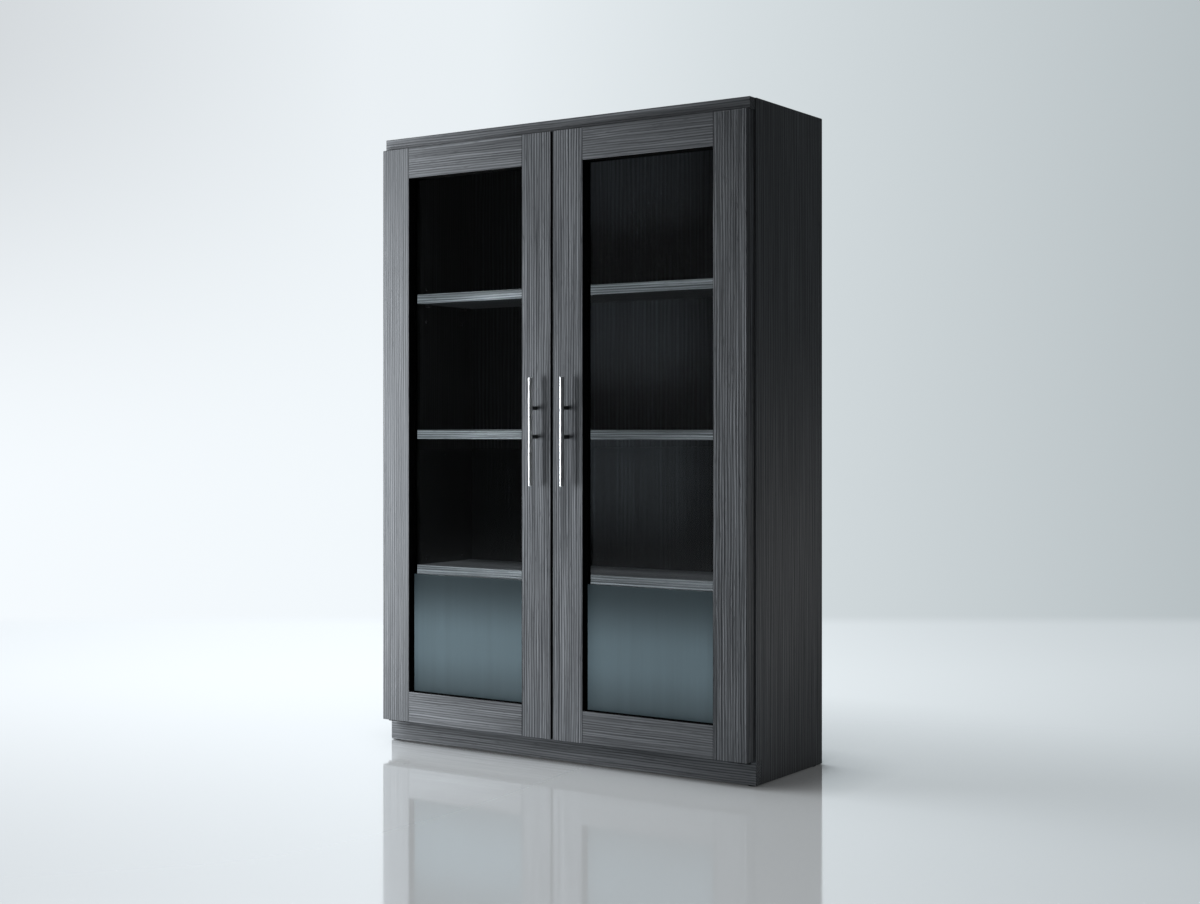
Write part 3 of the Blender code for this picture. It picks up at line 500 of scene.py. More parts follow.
@dataclass(frozen=True)
class ClearGlass:
    """Clear float glass."""

    name: str = "clear_float_glass"
    tint: Colour = (0.955, 0.975, 0.972)
    clearest: Colour = (0.970, 0.985, 0.983)
    drifts_per_metre: Point = (5.0, 5.0, 2.0)
    index: float = 1.45
    specular: float = 0.08

    def build(self) -> bpy.types.Material:
        """Build the glass, whose tint drifts a little over the sheet.

        Returns:
            Its material.
        """
        graph = ShaderGraph.material(self.name)
        drift = graph.noise(graph.coords(), self.drifts_per_metre, 1.0)
        colour = graph.ramp(drift, zip(NOISE_SPAN, (self.tint, self.clearest)))
        return graph.surface(Base_Color=colour, Roughness=0.0, IOR=self.index, Transmission_Weight=1.0,
                             Specular_IOR_Level=self.specular)


@dataclass(frozen=True)
class FrostedGlass:
    """Satin frosted glass: its colour is the frosting's haze, with painted shade that dims it towards the
    top edge under the shelf and towards the bottom rail.

    The haze is brightest a little below the middle, and runs in faint upright streaks.
    """

    name: str
    bottom: float
    top: float
    shade: Colour = (0.05, 0.07, 0.078)
    haze: Colour = (0.42, 0.54, 0.59)
    densest: float = 0.42
    fade_from: float = 0.5
    bottom_share: float = 0.52
    top_share: float = 0.22
    streaks_per_metre: Point = (60.0, 60.0, 1.5)
    streak_share: Range = (*NOISE_SPAN, 0.92, 1.06)
    grit_per_metre: float = 2600.0
    roughness: Range = (*NOISE_SPAN, 0.40, 0.50)
    index: float = 1.45
    clearness: float = 0.70
    specular: float = 0.10

    def build(self) -> bpy.types.Material:
        """Build the frosted glass, which lets some light through.

        Returns:
            Its material.
        """
        graph = ShaderGraph.material(self.name)
        coords = graph.coords()
        height = graph.dot(coords, UP)
        tall = self.top - self.bottom
        # Painted shade: the haze dims towards the bottom rail and towards the shelf at the top.
        rising = graph.remap(height, self.bottom, self.bottom + self.densest * tall,
                             self.bottom_share, 1.0, smooth=True)
        top_shade = graph.remap(height, self.bottom + self.fade_from * tall, self.top,
                             1.0, self.top_share, smooth=True)
        streaks = graph.noise(coords, self.streaks_per_metre, 3.0, 0.6)
        etching_and_shade = graph.math("MULTIPLY", graph.math("MULTIPLY", rising, top_shade),
                             graph.remap(streaks, *self.streak_share))
        grit = graph.noise(coords, (self.grit_per_metre,) * 3, 1.0, 0.5, (4.0, 4.0, 1.0))
        colour = graph.ramp(etching_and_shade, ((0.0, self.shade), (1.0, self.haze)))
        return graph.surface(Base_Color=colour, Roughness=graph.remap(grit, *self.roughness),
                             IOR=self.index, Transmission_Weight=self.clearness,
                             Specular_IOR_Level=self.specular)


@dataclass(frozen=True)
class Metal:
    """A metal with drawn or turned marks along one axis."""

    name: str
    colour: Colour
    roughness: float
    marks_per_metre: Point = (900.0, 900.0, 30.0)
    mark_depth: float = 0.00002
    metallic: float = 1.0
    weights: tuple[float, float] = (0.6, 0.4)
    stops: tuple[float, float] = (0.30, 0.62)
    clouds_per_metre: float = 70.0
    dulled: float = 0.86
    rough_swing: tuple[float, float] = (0.85, 1.2)

    def build(self) -> bpy.types.Material:
        """Build the metal.

        Returns:
            Its material.
        """
        graph = ShaderGraph.material(self.name)
        coords = graph.coords()
        marks = graph.noise(coords, self.marks_per_metre, 3.0)
        cloud = graph.noise(coords, (self.clouds_per_metre,) * 3, 2.0, shift=(4.0, 1.0, 2.0))
        mixed = graph.weighted(*zip((marks, cloud), self.weights))
        colour = graph.ramp(mixed, zip(self.stops, (times(self.colour, self.dulled), self.colour)))
        rough = graph.remap(cloud, *NOISE_SPAN, *(self.roughness * swing for swing in self.rough_swing))
        return graph.surface(Base_Color=colour, Metallic=self.metallic, Roughness=rough,
                             Normal=graph.bump(marks, self.mark_depth))


@dataclass(frozen=True)
class Moulded:
    """Black rubber or nylon with a fine moulded skin."""

    name: str
    colour: Colour
    roughness: float
    skin_per_metre: float = 1800.0
    skin_depth: float = 0.00006
    specular: float = 0.10
    stops: tuple[float, float] = (0.35, 0.75)
    wear_per_metre: float = 55.0
    worn: float = 1.5
    rough_swing: float = 0.06

    def build(self) -> bpy.types.Material:
        """Build the rubber or nylon.

        Returns:
            Its material.
        """
        graph = ShaderGraph.material(self.name)
        coords = graph.coords()
        skin = graph.noise(coords, (self.skin_per_metre,) * 3, 2.0)
        wear = graph.noise(coords, (self.wear_per_metre,) * 3, 2.0, shift=(2.0, 5.0, 1.0))
        colour = graph.ramp(wear, zip(self.stops, (self.colour, times(self.colour, self.worn))))
        rough = graph.remap(wear, *NOISE_SPAN, self.roughness - self.rough_swing,
                            self.roughness + self.rough_swing)
        return graph.surface(Base_Color=colour, Normal=graph.bump(skin, self.skin_depth), Roughness=rough,
                             Specular_IOR_Level=self.specular)


class Finishes:
    """Every finish of the cabinet, each built once."""

    stile_period: float = 0.0054
    rail_period: float = 0.0045
    side_period: float = 0.0062
    back_period: float = 0.0090
    stile_relief: float = 0.0006
    calm_valley: Colour = (0.052, 0.053, 0.057)
    calm_ridge: Colour = (0.186, 0.191, 0.200)
    # Shares of the decor's colour kept where shade is painted: the carcass's inner faces, the shelves' tops
    # and undersides, the doors' meeting edges.
    inner_share: float = 0.09
    shelf_shares: tuple[float, ...] = (0.14, 0.14, 0.40)
    meeting_share: float = 0.08

    def __init__(self) -> None:
        """Build the materials that the pieces share."""
        self.build_front_decors()
        self.build_board_decors()
        self.build_glass()
        self.build_fittings()

    def build_front_decors(self) -> None:
        """Build the decors of the doors' frames, the plinth and the strip over the doors."""
        # Painted light: the left hinge stile has a paler, flatter grain for a broad highlight; the right one
        # is dimmer with stronger grain for grazing-light shade.
        self.hinge_stile_decor = {
            Side.LEFT: BrushedDecor("left_hinge_stile_decor", Grain.UPRIGHT, self.stile_period,
                                    valley=(0.068, 0.070, 0.074), ridge=(0.164, 0.168, 0.176),
                                    relief=self.stile_relief).build(),
            Side.RIGHT: BrushedDecor("right_hinge_stile_decor", Grain.UPRIGHT, self.stile_period,
                                     valley=(0.014, 0.015, 0.017), middle=(0.091, 0.0935, 0.0985),
                                     ridge=(0.275, 0.282, 0.297), relief=self.stile_relief).build()}
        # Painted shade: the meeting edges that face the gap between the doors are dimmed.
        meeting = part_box("right_door_handle_stile")[0][0]
        self.handle_stile_decor = {
            side: BrushedDecor(f"{side.word}_handle_stile_decor", Grain.UPRIGHT, self.stile_period,
                               InnerFace((side.value, 0.0, 0.0), meeting, self.meeting_share),
                               relief=self.stile_relief).build()
            for side in Side}
        self.across_decor = BrushedDecor("across_brushed_decor", Grain.ACROSS, self.rail_period,
                                         valley=(0.036, 0.037, 0.040), ridge=(0.225, 0.230, 0.242)).build()
        # Painted light: the strip over the doors has a lighter copy of the rail decor, standing for more
        # light falling on it.
        self.fascia_decor = BrushedDecor("fascia_brushed_decor", Grain.ACROSS, self.rail_period,
                                         valley=(0.046, 0.047, 0.050), middle=(0.124, 0.127, 0.133),
                                         ridge=(0.262, 0.268, 0.282)).build()

    def build_board_decors(self) -> None:
        """Build the decors of the carcass boards, with painted shade on their inner faces."""
        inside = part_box("right_side_panel")[0][0]
        self.side_decor = {
            side: BrushedDecor(f"{side.word}_side_decor", Grain.UPRIGHT, self.side_period,
                               InnerFace((side.value, 0.0, 0.0), inside, self.inner_share),
                               valley=self.calm_valley, ridge=self.calm_ridge).build()
            for side in Side}
        # Painted shade on the shelves' tops and undersides; their front edges keep the decor.
        shelf_front = -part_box("upper_shelf")[0][1] - MILLIMETRE
        self.shelf_decor = {
            shelf: BrushedDecor(f"{shelf}_decor", Grain.ACROSS, self.rail_period,
                                InnerFace((0.0, -1.0, 0.0), shelf_front, share),
                                valley=(0.020, 0.021, 0.023), ridge=(0.275, 0.281, 0.295)).build()
            for shelf, share in zip(SHELVES, self.shelf_shares)}
        self.top_decor = self.across_board(
            "top", InnerFace((0.0, 0.0, 1.0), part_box("top_panel")[0][2], self.inner_share))
        self.bottom_decor = self.across_board(
            "bottom", InnerFace((0.0, 0.0, -1.0), -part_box("bottom_panel")[1][2], self.inner_share))
        # Painted shade: the back's front decor is near black, far below the outside decor.
        back_shade_decor = BrushedDecor("dark_inner_decor", Grain.UPRIGHT, self.back_period,
                                   valley=(0.0030, 0.0033, 0.0038), middle=(0.0085, 0.0093, 0.0105),
                                   ridge=(0.0215, 0.0236, 0.0266))
        back_low, back_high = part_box("back_panel")
        self.back_board = BackBoard("back_fibreboard", back_shade_decor, (back_low[1] + back_high[1]) / 2).build()

    def build_glass(self) -> None:
        """Build the clear and the frosted glass."""
        self.clear_glass = ClearGlass().build()
        pane_low, pane_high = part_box("left_door_frosted_pane")
        self.frosted_glass = FrostedGlass("satin_frosted_glass", pane_low[2], pane_high[2]).build()

    def build_fittings(self) -> None:
        """Build the metals, the rubber and the nylon."""
        self.polished_steel = Metal("polished_bar_steel", (0.55, 0.555, 0.56), 0.32,
                                    mark_depth=0.000003).build()
        self.black_steel = Metal("black_coated_steel", (0.022, 0.022, 0.023), 0.42, metallic=0.4).build()
        self.zinc_steel = Metal("zinc_plated_steel", (0.62, 0.63, 0.64), 0.34).build()
        # Partly painted shade: black rubber, but dimmer than rubber and without gloss, so the reveals read
        # black like shade.
        self.gasket_rubber = Moulded("black_gasket_rubber", (0.003, 0.003, 0.003), 0.85,
                                     specular=0.0).build()
        self.black_nylon = Moulded("black_nylon", (0.020, 0.020, 0.022), 0.58).build()

    def across_board(self, word: str, inner: InnerFace) -> bpy.types.Material:
        """Return the decor of a level board with painted shade on its own inner faces."""
        return BrushedDecor(f"{word}_brushed_decor", Grain.ACROSS, self.rail_period, inner,
                            valley=self.calm_valley, ridge=self.calm_ridge).build()


def dress(node: str, material: bpy.types.Material) -> bpy.types.Object:
    """Give a frame node its finish.

    Args:
        node: The node's name.
        material: The finish.

    Returns:
        The node's object.
    """
    piece = frame["nodes"][node]
    piece.data.materials.clear()
    piece.data.materials.append(material)
    log.info("dressed %s in %s", node, material.name)
    return piece


def add_piece(name: str, shape: bmesh.types.BMesh, material: bpy.types.Material, body: Body) -> None:
    """Turn a mesh in the frame's places into a dressed piece that rides on a body.

    Args:
        name: The piece's name.
        shape: Its mesh, which is used up.
        material: Its finish.
        body: The body that it moves with.
    """
    bmesh.ops.recalc_face_normals(shape, faces=shape.faces)
    mesh = bpy.data.meshes.new(name)
    shape.to_mesh(mesh)
    shape.free()
    mesh.shade_smooth()
    mesh.set_sharp_from_angle(angle=SHARP_ANGLE)
    mesh.materials.append(material)
    piece = bpy.data.objects.new(name, mesh)
    bpy.context.scene.collection.objects.link(piece)
    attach(piece, body.value)
    log.info("made %s on %s", name, body.value)


@dataclass(frozen=True)
class CrossScrew:
    """A small domed screw head with a cross recess."""

    radius: float
    height: float
    dome: float = 0.0002
    recess: float = 0.0006
    arm_share: float = 0.36
    reach_share: float = 0.62
    steps: int = 32
    rings: tuple[float, ...] = (0.18, 0.36, 0.54, 0.66, 0.86, 1.0)

    def level(self, across: float, up: float) -> float:
        """Return the head's height at a place on its face.

        Args:
            across: The place's distance across from the middle, in radii.
            up: The place's distance up from the middle, in radii.

        Returns:
            The height over the seat.
        """
        out = math.hypot(across, up)
        arm = min(abs(across), abs(up)) <= self.arm_share / 2 and out <= self.reach_share
        return self.height - self.dome * out ** 2 - (self.recess if arm else 0.0)

    def draw(self, shape: bmesh.types.BMesh, seat: Sequence[float], outward: Sequence[float]) -> None:
        """Draw the head on its seat.

        Args:
            shape: The mesh to draw in.
            seat: The middle of the face that the head sits on.
            outward: The unit direction that the head faces.
        """
        facing = Vector(outward)
        side = facing.orthogonal().normalized()
        other = facing.cross(side)

        def point(across: float, up: float, rise: float) -> bmesh.types.BMVert:
            """Return a new vertex at a place in the head's own directions."""
            return shape.verts.new(Vector(seat) + (side * across + other * up) * self.radius + facing * rise)

        turns = [2.0 * math.pi * step / self.steps for step in range(self.steps)]
        middle = point(0.0, 0.0, self.level(0.0, 0.0))
        loops = [[point(ring * math.cos(turn), ring * math.sin(turn),
                        self.level(ring * math.cos(turn), ring * math.sin(turn))) for turn in turns]
                 for ring in self.rings]
        loops.append([point(math.cos(turn), math.sin(turn), 0.0) for turn in turns])
        for step in range(self.steps):
            after = (step + 1) % self.steps
            shape.faces.new((middle, loops[0][step], loops[0][after]))
            for inner, outer in zip(loops, loops[1:]):
                shape.faces.new((inner[step], outer[step], outer[after], inner[after]))
        shape.faces.new(loops[-1])


@dataclass
class MagneticCatch:
    """The magnets and screws of the catch under the top panel."""

    finishes: Finishes
    magnet_width: float = 0.0150
    magnet_height: float = 0.0082
    plate_thickness: float = 0.0013
    recess: float = 0.0010
    clearance: float = 0.0001
    edge_round: float = 0.0002
    edge_steps: int = 2
    screw: CrossScrew = CrossScrew(0.0020, 0.0009)
    screw_from_end: float = 0.0030

    def block(self, shape: bmesh.types.BMesh, low: Sequence[float], high: Sequence[float]) -> None:
        """Draw a block with rounded edges.

        Args:
            shape: The mesh to draw in.
            low: The block's corner with the smallest coordinates.
            high: The block's opposite corner.
        """
        low, high = Vector(low), Vector(high)
        made = bmesh.ops.create_cube(shape, size=1.0)["verts"]
        for vertex in made:
            vertex.co = (low + high) / 2 + Vector(a * b for a, b in zip(vertex.co, high - low))
        edges = list({edge for vertex in made for edge in vertex.link_edges})
        bmesh.ops.bevel(shape, geom=edges, offset=self.edge_round, segments=self.edge_steps, affect="EDGES")

    def build(self) -> None:
        """Make the magnets, their steel pole plates and the catch's screws."""
        low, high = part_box("magnetic_catch")
        front = low[1] + self.clearance
        floor = low[1] + self.recess - self.clearance
        plates, magnets, screws = bmesh.new(), bmesh.new(), bmesh.new()
        for side in Side:
            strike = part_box(f"{side.word}_door_strike_plate")
            middle = [(strike[0][axis] + strike[1][axis]) / 2 for axis in range(3)]
            left, right = middle[0] - self.magnet_width / 2, middle[0] + self.magnet_width / 2
            bottom, top = middle[2] - self.magnet_height / 2, middle[2] + self.magnet_height / 2
            inner = self.plate_thickness
            self.block(plates, (left, front, bottom), (right, floor, bottom + inner))
            self.block(plates, (left, front, top - inner), (right, floor, top))
            self.block(magnets, (left, front + 2 * self.clearance, bottom + inner + self.clearance),
                       (right, floor, top - inner - self.clearance))
            end = high[0] if side is Side.RIGHT else low[0]
            seat = (end - side.value * self.screw_from_end, (low[1] + high[1]) / 2, low[2])
            self.screw.draw(screws, seat, -UP)
        add_piece("catch_pole_plates", plates, self.finishes.zinc_steel, Body.CABINET)
        add_piece("catch_magnets", magnets, self.finishes.black_nylon, Body.CABINET)
        add_piece("catch_screws", screws, self.finishes.zinc_steel, Body.CABINET)


@dataclass
class Carcass:
    """The boards, fittings and feet that stand still."""

    finishes: Finishes
    plinth_boards: tuple[str, ...] = ("plinth_board", "rear_plinth_rail")
    loose_shelves: tuple[str, ...] = ("upper_shelf", "lower_shelf")

    def dress_boards(self) -> None:
        """Dress every board along its grain."""
        for side in Side:
            dress(f"{side.word}_side_panel", self.finishes.side_decor[side])
        dress("top_panel", self.finishes.top_decor)
        dress("bottom_panel", self.finishes.bottom_decor)
        dress("top_fascia", self.finishes.fascia_decor)
        for node in self.plinth_boards:
            dress(node, self.finishes.across_decor)
        for node in SHELVES:
            dress(node, self.finishes.shelf_decor[node])
        dress("back_panel", self.finishes.back_board)

    def dress_fittings(self) -> None:
        """Dress the pins, glides, pivots and catch."""
        for side in Side:
            for place in ("front", "rear"):
                for shelf in self.loose_shelves:
                    dress(f"{shelf}_{place}_{side.word}_pin", self.finishes.black_steel)
                dress(f"{place}_{side.word}_glide", self.finishes.black_nylon)
            dress(f"{side.word}_lower_pivot_bracket", self.finishes.black_steel)
            dress(f"{side.word}_upper_pivot_bush", self.finishes.black_nylon)
        dress("magnetic_catch", self.finishes.black_nylon)

    def build(self) -> None:
        """Dress the whole carcass and fit its catch."""
        self.dress_boards()
        self.dress_fittings()
        MagneticCatch(self.finishes).build()


@dataclass
class Door:
    """One framed glass door with its handle."""

    finishes: Finishes
    side: Side
    bead_thickness: float = 0.0008
    bead_seat: float = 0.00005
    bead_front_inset: float = 0.0008
    bead_glass_gap: float = 0.0001
    bead_nose_steps: int = 4
    strike_screw: CrossScrew = CrossScrew(0.0016, 0.0021)

    @property
    def body(self) -> Body:
        """Return the body that the door's pieces move with."""
        return Body(f"{self.side.word}_door")

    def node(self, piece: str) -> str:
        """Return the frame's name for one of the door's pieces."""
        return f"{self.side.word}_door_{piece}"

    def dress_frame(self) -> None:
        """Dress the stiles upright and the rails across."""
        dress(self.node("hinge_stile"), self.finishes.hinge_stile_decor[self.side])
        dress(self.node("handle_stile"), self.finishes.handle_stile_decor[self.side])
        for piece in ("top_rail", "bottom_rail"):
            dress(self.node(piece), self.finishes.across_decor)

    def dress_glazing(self) -> None:
        """Dress both panes and their gasket; light passes the clear pane."""
        clear = dress(self.node("clear_pane"), self.finishes.clear_glass)
        clear.visible_shadow = False
        dress(self.node("frosted_pane"), self.finishes.frosted_glass)
        dress(self.node("glazing_gasket"), self.finishes.gasket_rubber)

    def dress_fittings(self) -> None:
        """Dress the handle, the pivots and the strike plate."""
        dress(self.node("handle_bar"), self.finishes.polished_steel)
        for place in ("upper", "lower"):
            dress(self.node(f"{place}_handle_post"), self.finishes.black_steel)
            dress(self.node(f"{place}_handle_screw"), self.finishes.zinc_steel)
        dress(self.node("upper_pivot_pin"), self.finishes.zinc_steel)
        dress(self.node("lower_pivot_bush"), self.finishes.black_nylon)
        dress(self.node("strike_plate"), self.finishes.zinc_steel)

    def bead_profile(self) -> list[tuple[float, float]]:
        """Work out the bead's section, which has a round nose.

        Returns:
            Inset from the opening's edge and depth of each point.
        """
        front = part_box(self.node("hinge_stile"))[0][1] + self.bead_front_inset
        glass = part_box(self.node("clear_pane"))[0][1] - self.bead_glass_gap
        nose = self.bead_thickness / 2
        turns = [math.pi * step / self.bead_nose_steps for step in range(self.bead_nose_steps + 1)]
        arc = [(self.bead_seat + nose - nose * math.cos(turn), front + nose - nose * math.sin(turn))
               for turn in turns]
        return [(self.bead_seat, glass), *arc, (self.bead_seat + self.bead_thickness, glass)]

    def make_bead(self) -> None:
        """Make the black bead that lines the opening in front of the glass, mitred at its corners."""
        stiles = [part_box(self.node(piece)) for piece in ("hinge_stile", "handle_stile")]
        left, right = sorted(stiles, key=lambda box: box[0][0])
        low_x, high_x = left[1][0], right[0][0]
        low_z, high_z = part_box(self.node("bottom_rail"))[1][2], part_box(self.node("top_rail"))[0][2]
        shape = bmesh.new()
        rings = [[shape.verts.new(corner) for corner in
                  ((low_x + inset, depth, low_z + inset), (high_x - inset, depth, low_z + inset),
                   (high_x - inset, depth, high_z - inset), (low_x + inset, depth, high_z - inset))]
                 for inset, depth in self.bead_profile()]
        for ring, following in zip(rings, rings[1:] + rings[:1]):
            for corner in range(4):
                after = (corner + 1) % 4
                shape.faces.new((ring[corner], ring[after], following[after], following[corner]))
        # The bead's near-black rubber stands for the reveal's shade as well as a real bead.
        add_piece(self.node("glazing_bead"), shape, self.finishes.gasket_rubber, self.body)

    def make_strike_screw(self) -> None:
        """Make the screw in the strike plate's hole."""
        low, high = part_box(self.node("strike_plate"))
        shape = bmesh.new()
        seat = ((low[0] + high[0]) / 2, low[1], (low[2] + high[2]) / 2)
        self.strike_screw.draw(shape, seat, (0.0, 1.0, 0.0))
        add_piece(self.node("strike_screw"), shape, self.finishes.zinc_steel, self.body)

    def build(self) -> None:
        """Dress the whole door and fit its bead and screw."""
        self.dress_frame()
        self.dress_glazing()
        self.dress_fittings()
        self.make_bead()
        self.make_strike_screw()


@dataclass(frozen=True)
class SoftLight:
    """One rectangular studio light."""

    name: str
    place: Point
    target: Point
    size: tuple[float, float]
    watts: float
    colour: Colour = (0.92, 0.967, 1.0)
    only_on: tuple[str, ...] = ()
    never_on: tuple[str, ...] = ()
    passes: tuple[str, ...] = ()
    mirrored: bool = True
    refracted: bool = True
    spread: float = math.pi

    def build(self) -> None:
        """Make the light, aimed at its target and unseen by the camera."""
        data = bpy.data.lights.new(self.name, "AREA")
        data.shape = "RECTANGLE"
        data.size, data.size_y = self.size
        data.energy = self.watts
        data.color = self.colour
        data.spread = self.spread
        light = bpy.data.objects.new(self.name, data)
        light.location = self.place
        aim = Vector(self.target) - Vector(self.place)
        light.rotation_euler = aim.to_track_quat("-Z", "Y").to_euler()
        light.visible_camera = False
        light.visible_glossy = self.mirrored
        light.visible_transmission = self.refracted
        bpy.context.scene.collection.objects.link(light)
        if self.only_on or self.never_on:
            light.light_linking.receiver_collection = self.group("receivers", self.only_on, self.never_on)
        if self.passes:
            light.light_linking.blocker_collection = self.group("blockers", (), self.passes)
        log.info("lit %s", self.name)

    def group(self, purpose: str, taken: Sequence[str], left_out: Sequence[str]) -> bpy.types.Collection:
        """Return a collection that keeps the light to some pieces or off others.

        Args:
            purpose: The word that ends the collection's name.
            taken: The names of the pieces it counts for.
            left_out: The names of the pieces it doesn't count for.

        Returns:
            The collection.
        """
        group = bpy.data.collections.new(f"{self.name}_{purpose}")
        for name in (*taken, *left_out):
            group.objects.link(bpy.data.objects[name])
        for member, piece in zip(group.collection_objects, group.objects):
            if piece.name in left_out:
                member.light_linking.link_state = "EXCLUDE"
        return group


@dataclass(frozen=True)
class FloorTones:
    """The floor's colours, and what its depth, its reach across and its openness do to its light."""

    near: Range = (1.00, 2.15, 0.0, 1.0)
    aside: Range = (2.0, 3.6, 1.0, 0.0)
    level_across: Range = (-1.4, 1.6, 1.17, 0.70)
    level_deep: Range = (2.2, 4.4, 0.50, 1.0)
    plain_level: float = 0.90
    lean: Point = (-0.42, -0.52, 0.74)
    samples: int = 12
    sky_reach: float = 0.75
    sky_shade: Range = (0.30, 1.0, 0.35, 1.0)
    contact_reach: float = 0.16
    contact_shade: Range = (0.45, 1.0, 0.22, 1.0)
    paint: Colour = (0.408, 0.422, 0.432)
    glow: Colour = (0.955, 0.985, 1.0)
    coat: Colour = (0.96, 0.98, 1.0)
    coat_roughness: float = 0.06
    coat_contact: Range = (0.35, 0.60, 0.0, 1.0)
    sheen: Range = (0.0, 1.0, 0.30, 0.90)
    sheen_power: float = 4.0
    sheen_across: Range = (-0.55, 0.35, 1.12, 0.95)
    wall_fade: tuple[float, float] = (-0.25, 0.10)
    round_fade: Range = (3.4, 6.0, 0.0, 1.0)


@dataclass(frozen=True)
class WallTones:
    """The background's colours from left to right, and its strength by the direction looked in."""

    across: Range = (-0.33, 0.33, 0.0, 1.0)
    stops: tuple[tuple[float, Colour], ...] = (
        (0.0, (0.92, 0.965, 1.0)), (0.30, (0.89, 0.94, 0.975)),
        (0.62, (0.67, 0.725, 0.75)), (1.0, (0.475, 0.525, 0.545)))
    corner_rise: Range = (-0.04, 0.24, 0.0, 1.0)
    corner_across: Range = (-0.36, -0.06, 1.0, 0.0)
    corner_shade: Range = (0.0, 1.0, 1.0, 0.68)
    mirrored_behind: Range = (-0.15, 0.45, 0.03, 1.0)
    mirrored_above: Range = (0.18, 0.28, 0.0, 0.8)
    ambient: Range = (0.78, 0.92, 0.01, 0.18)
    unseen: Colour = (0.80, 0.80, 0.80)


class FloorFinish:
    """The pale glossy floor's material, drawn in the camera's own directions."""

    def __init__(self, studio: "Studio") -> None:
        """Measure the floor's places, and lay the sockets that its shaders share.

        Args:
            studio: The studio, for the camera's place and directions and for the background.
        """
        graph = ShaderGraph.material("pale_studio_floor")
        place = graph.add("NewGeometry").outputs["Position"]
        self.studio = studio
        self.tones = studio.floor_tones
        self.graph = graph
        self.sight = graph.add("VectorMath", {0: place, 1: studio.camera_place},
                               operation="SUBTRACT").outputs[0]
        self.apart = graph.add("VectorMath", {0: place}, operation="LENGTH").outputs["Value"]
        self.across = graph.dot(place, studio.rightward)
        self.depth = graph.dot(self.sight, studio.forward)
        aside = graph.math("ABSOLUTE", self.across)
        self.staged = graph.math("MULTIPLY", graph.remap(self.depth, *self.tones.near, smooth=True),
                                 graph.remap(aside, *self.tones.aside, smooth=True))
        self.contact = self.openness(self.tones.contact_reach)
        self.seen = graph.sight()[0]

    def openness(self, reach: float) -> Socket:
        """Return how open the floor is towards the front left and up.

        Args:
            reach: The distance within which pieces count.

        Returns:
            The openness's socket, 1 where nothing stands near.
        """
        lean = self.graph.add("CombineXYZ", dict(zip("XYZ", self.tones.lean))).outputs[0]
        node = self.graph.add("AmbientOcclusion", {"Distance": reach, "Normal": lean},
                              samples=self.tones.samples)
        return node.outputs["AO"]

    def paint(self) -> Socket:
        """Draw the lit paint, with a pale glow for the eye that carries painted light and painted shadow.

        Returns:
            The shader's socket.
        """
        graph, tones = self.graph, self.tones
        # Painted light: the glow is brighter to the left and further away.
        level = graph.math("MULTIPLY", graph.remap(self.across, *tones.level_across, smooth=True),
                           graph.remap(self.depth, *tones.level_deep, smooth=True))
        plain = graph.add("Mix", {"Factor": self.staged, "A": tones.plain_level, "B": level}).outputs[0]
        # Painted shadow: the glow dims where pieces stand near.
        shade = graph.math("MULTIPLY", graph.remap(self.openness(tones.sky_reach), *tones.sky_shade),
                           graph.remap(self.contact, *tones.contact_shade))
        light = graph.math("MULTIPLY", graph.math("MULTIPLY", plain, shade), self.seen)
        paint = graph.add("BsdfDiffuse", {"Color": opaque(tones.paint)})
        glow = graph.add("Emission", {"Color": opaque(tones.glow), "Strength": light})
        return graph.add("AddShader", {0: paint.outputs[0], 1: glow.outputs[0]}).outputs[0]

    def coat(self, base: Socket) -> Socket:
        """Lay the glossy coat, which ends close to the pieces and with the stage.

        Args:
            base: The shader below the coat.

        Returns:
            The coated shader's socket.
        """
        graph, tones = self.graph, self.tones
        gloss = graph.add("BsdfGlossy", {"Color": opaque(tones.coat), "Roughness": tones.coat_roughness})
        facing = graph.add("LayerWeight", {"Blend": 0.5}).outputs["Facing"]
        grazing = graph.math("POWER", facing, tones.sheen_power)
        sheen = graph.math("MULTIPLY", graph.remap(grazing, *tones.sheen),
                           graph.remap(self.across, *tones.sheen_across, smooth=True))
        covered = graph.math("MULTIPLY", self.staged,
                             graph.remap(self.contact, *tones.coat_contact, smooth=True))
        share = graph.math("MULTIPLY", sheen, covered)
        return graph.add("MixShader", {0: share, 1: base, 2: gloss.outputs[0]}).outputs[0]

    def build(self) -> bpy.types.Material:
        """Build the coated floor, which fades into the background far away.

        Returns:
            Its material.
        """
        graph, tones = self.graph, self.tones
        start, end = (self.studio.wall_distance + step for step in tones.wall_fade)
        deep = graph.remap(self.depth, start, end, 0.0, 1.0, smooth=True)
        gone = graph.math("MAXIMUM", deep, graph.remap(self.apart, *tones.round_fade, smooth=True))
        ray = graph.add("VectorMath", {0: self.sight}, operation="NORMALIZE").outputs[0]
        wall = graph.add("Emission", {"Color": self.studio.background_colour(graph, ray)})
        hidden = graph.math("MULTIPLY", gone, self.seen)
        faded = graph.add("MixShader", {0: hidden, 1: self.coat(self.paint()), 2: wall.outputs[0]})
        graph.close(faded.outputs[0])
        return graph.owner


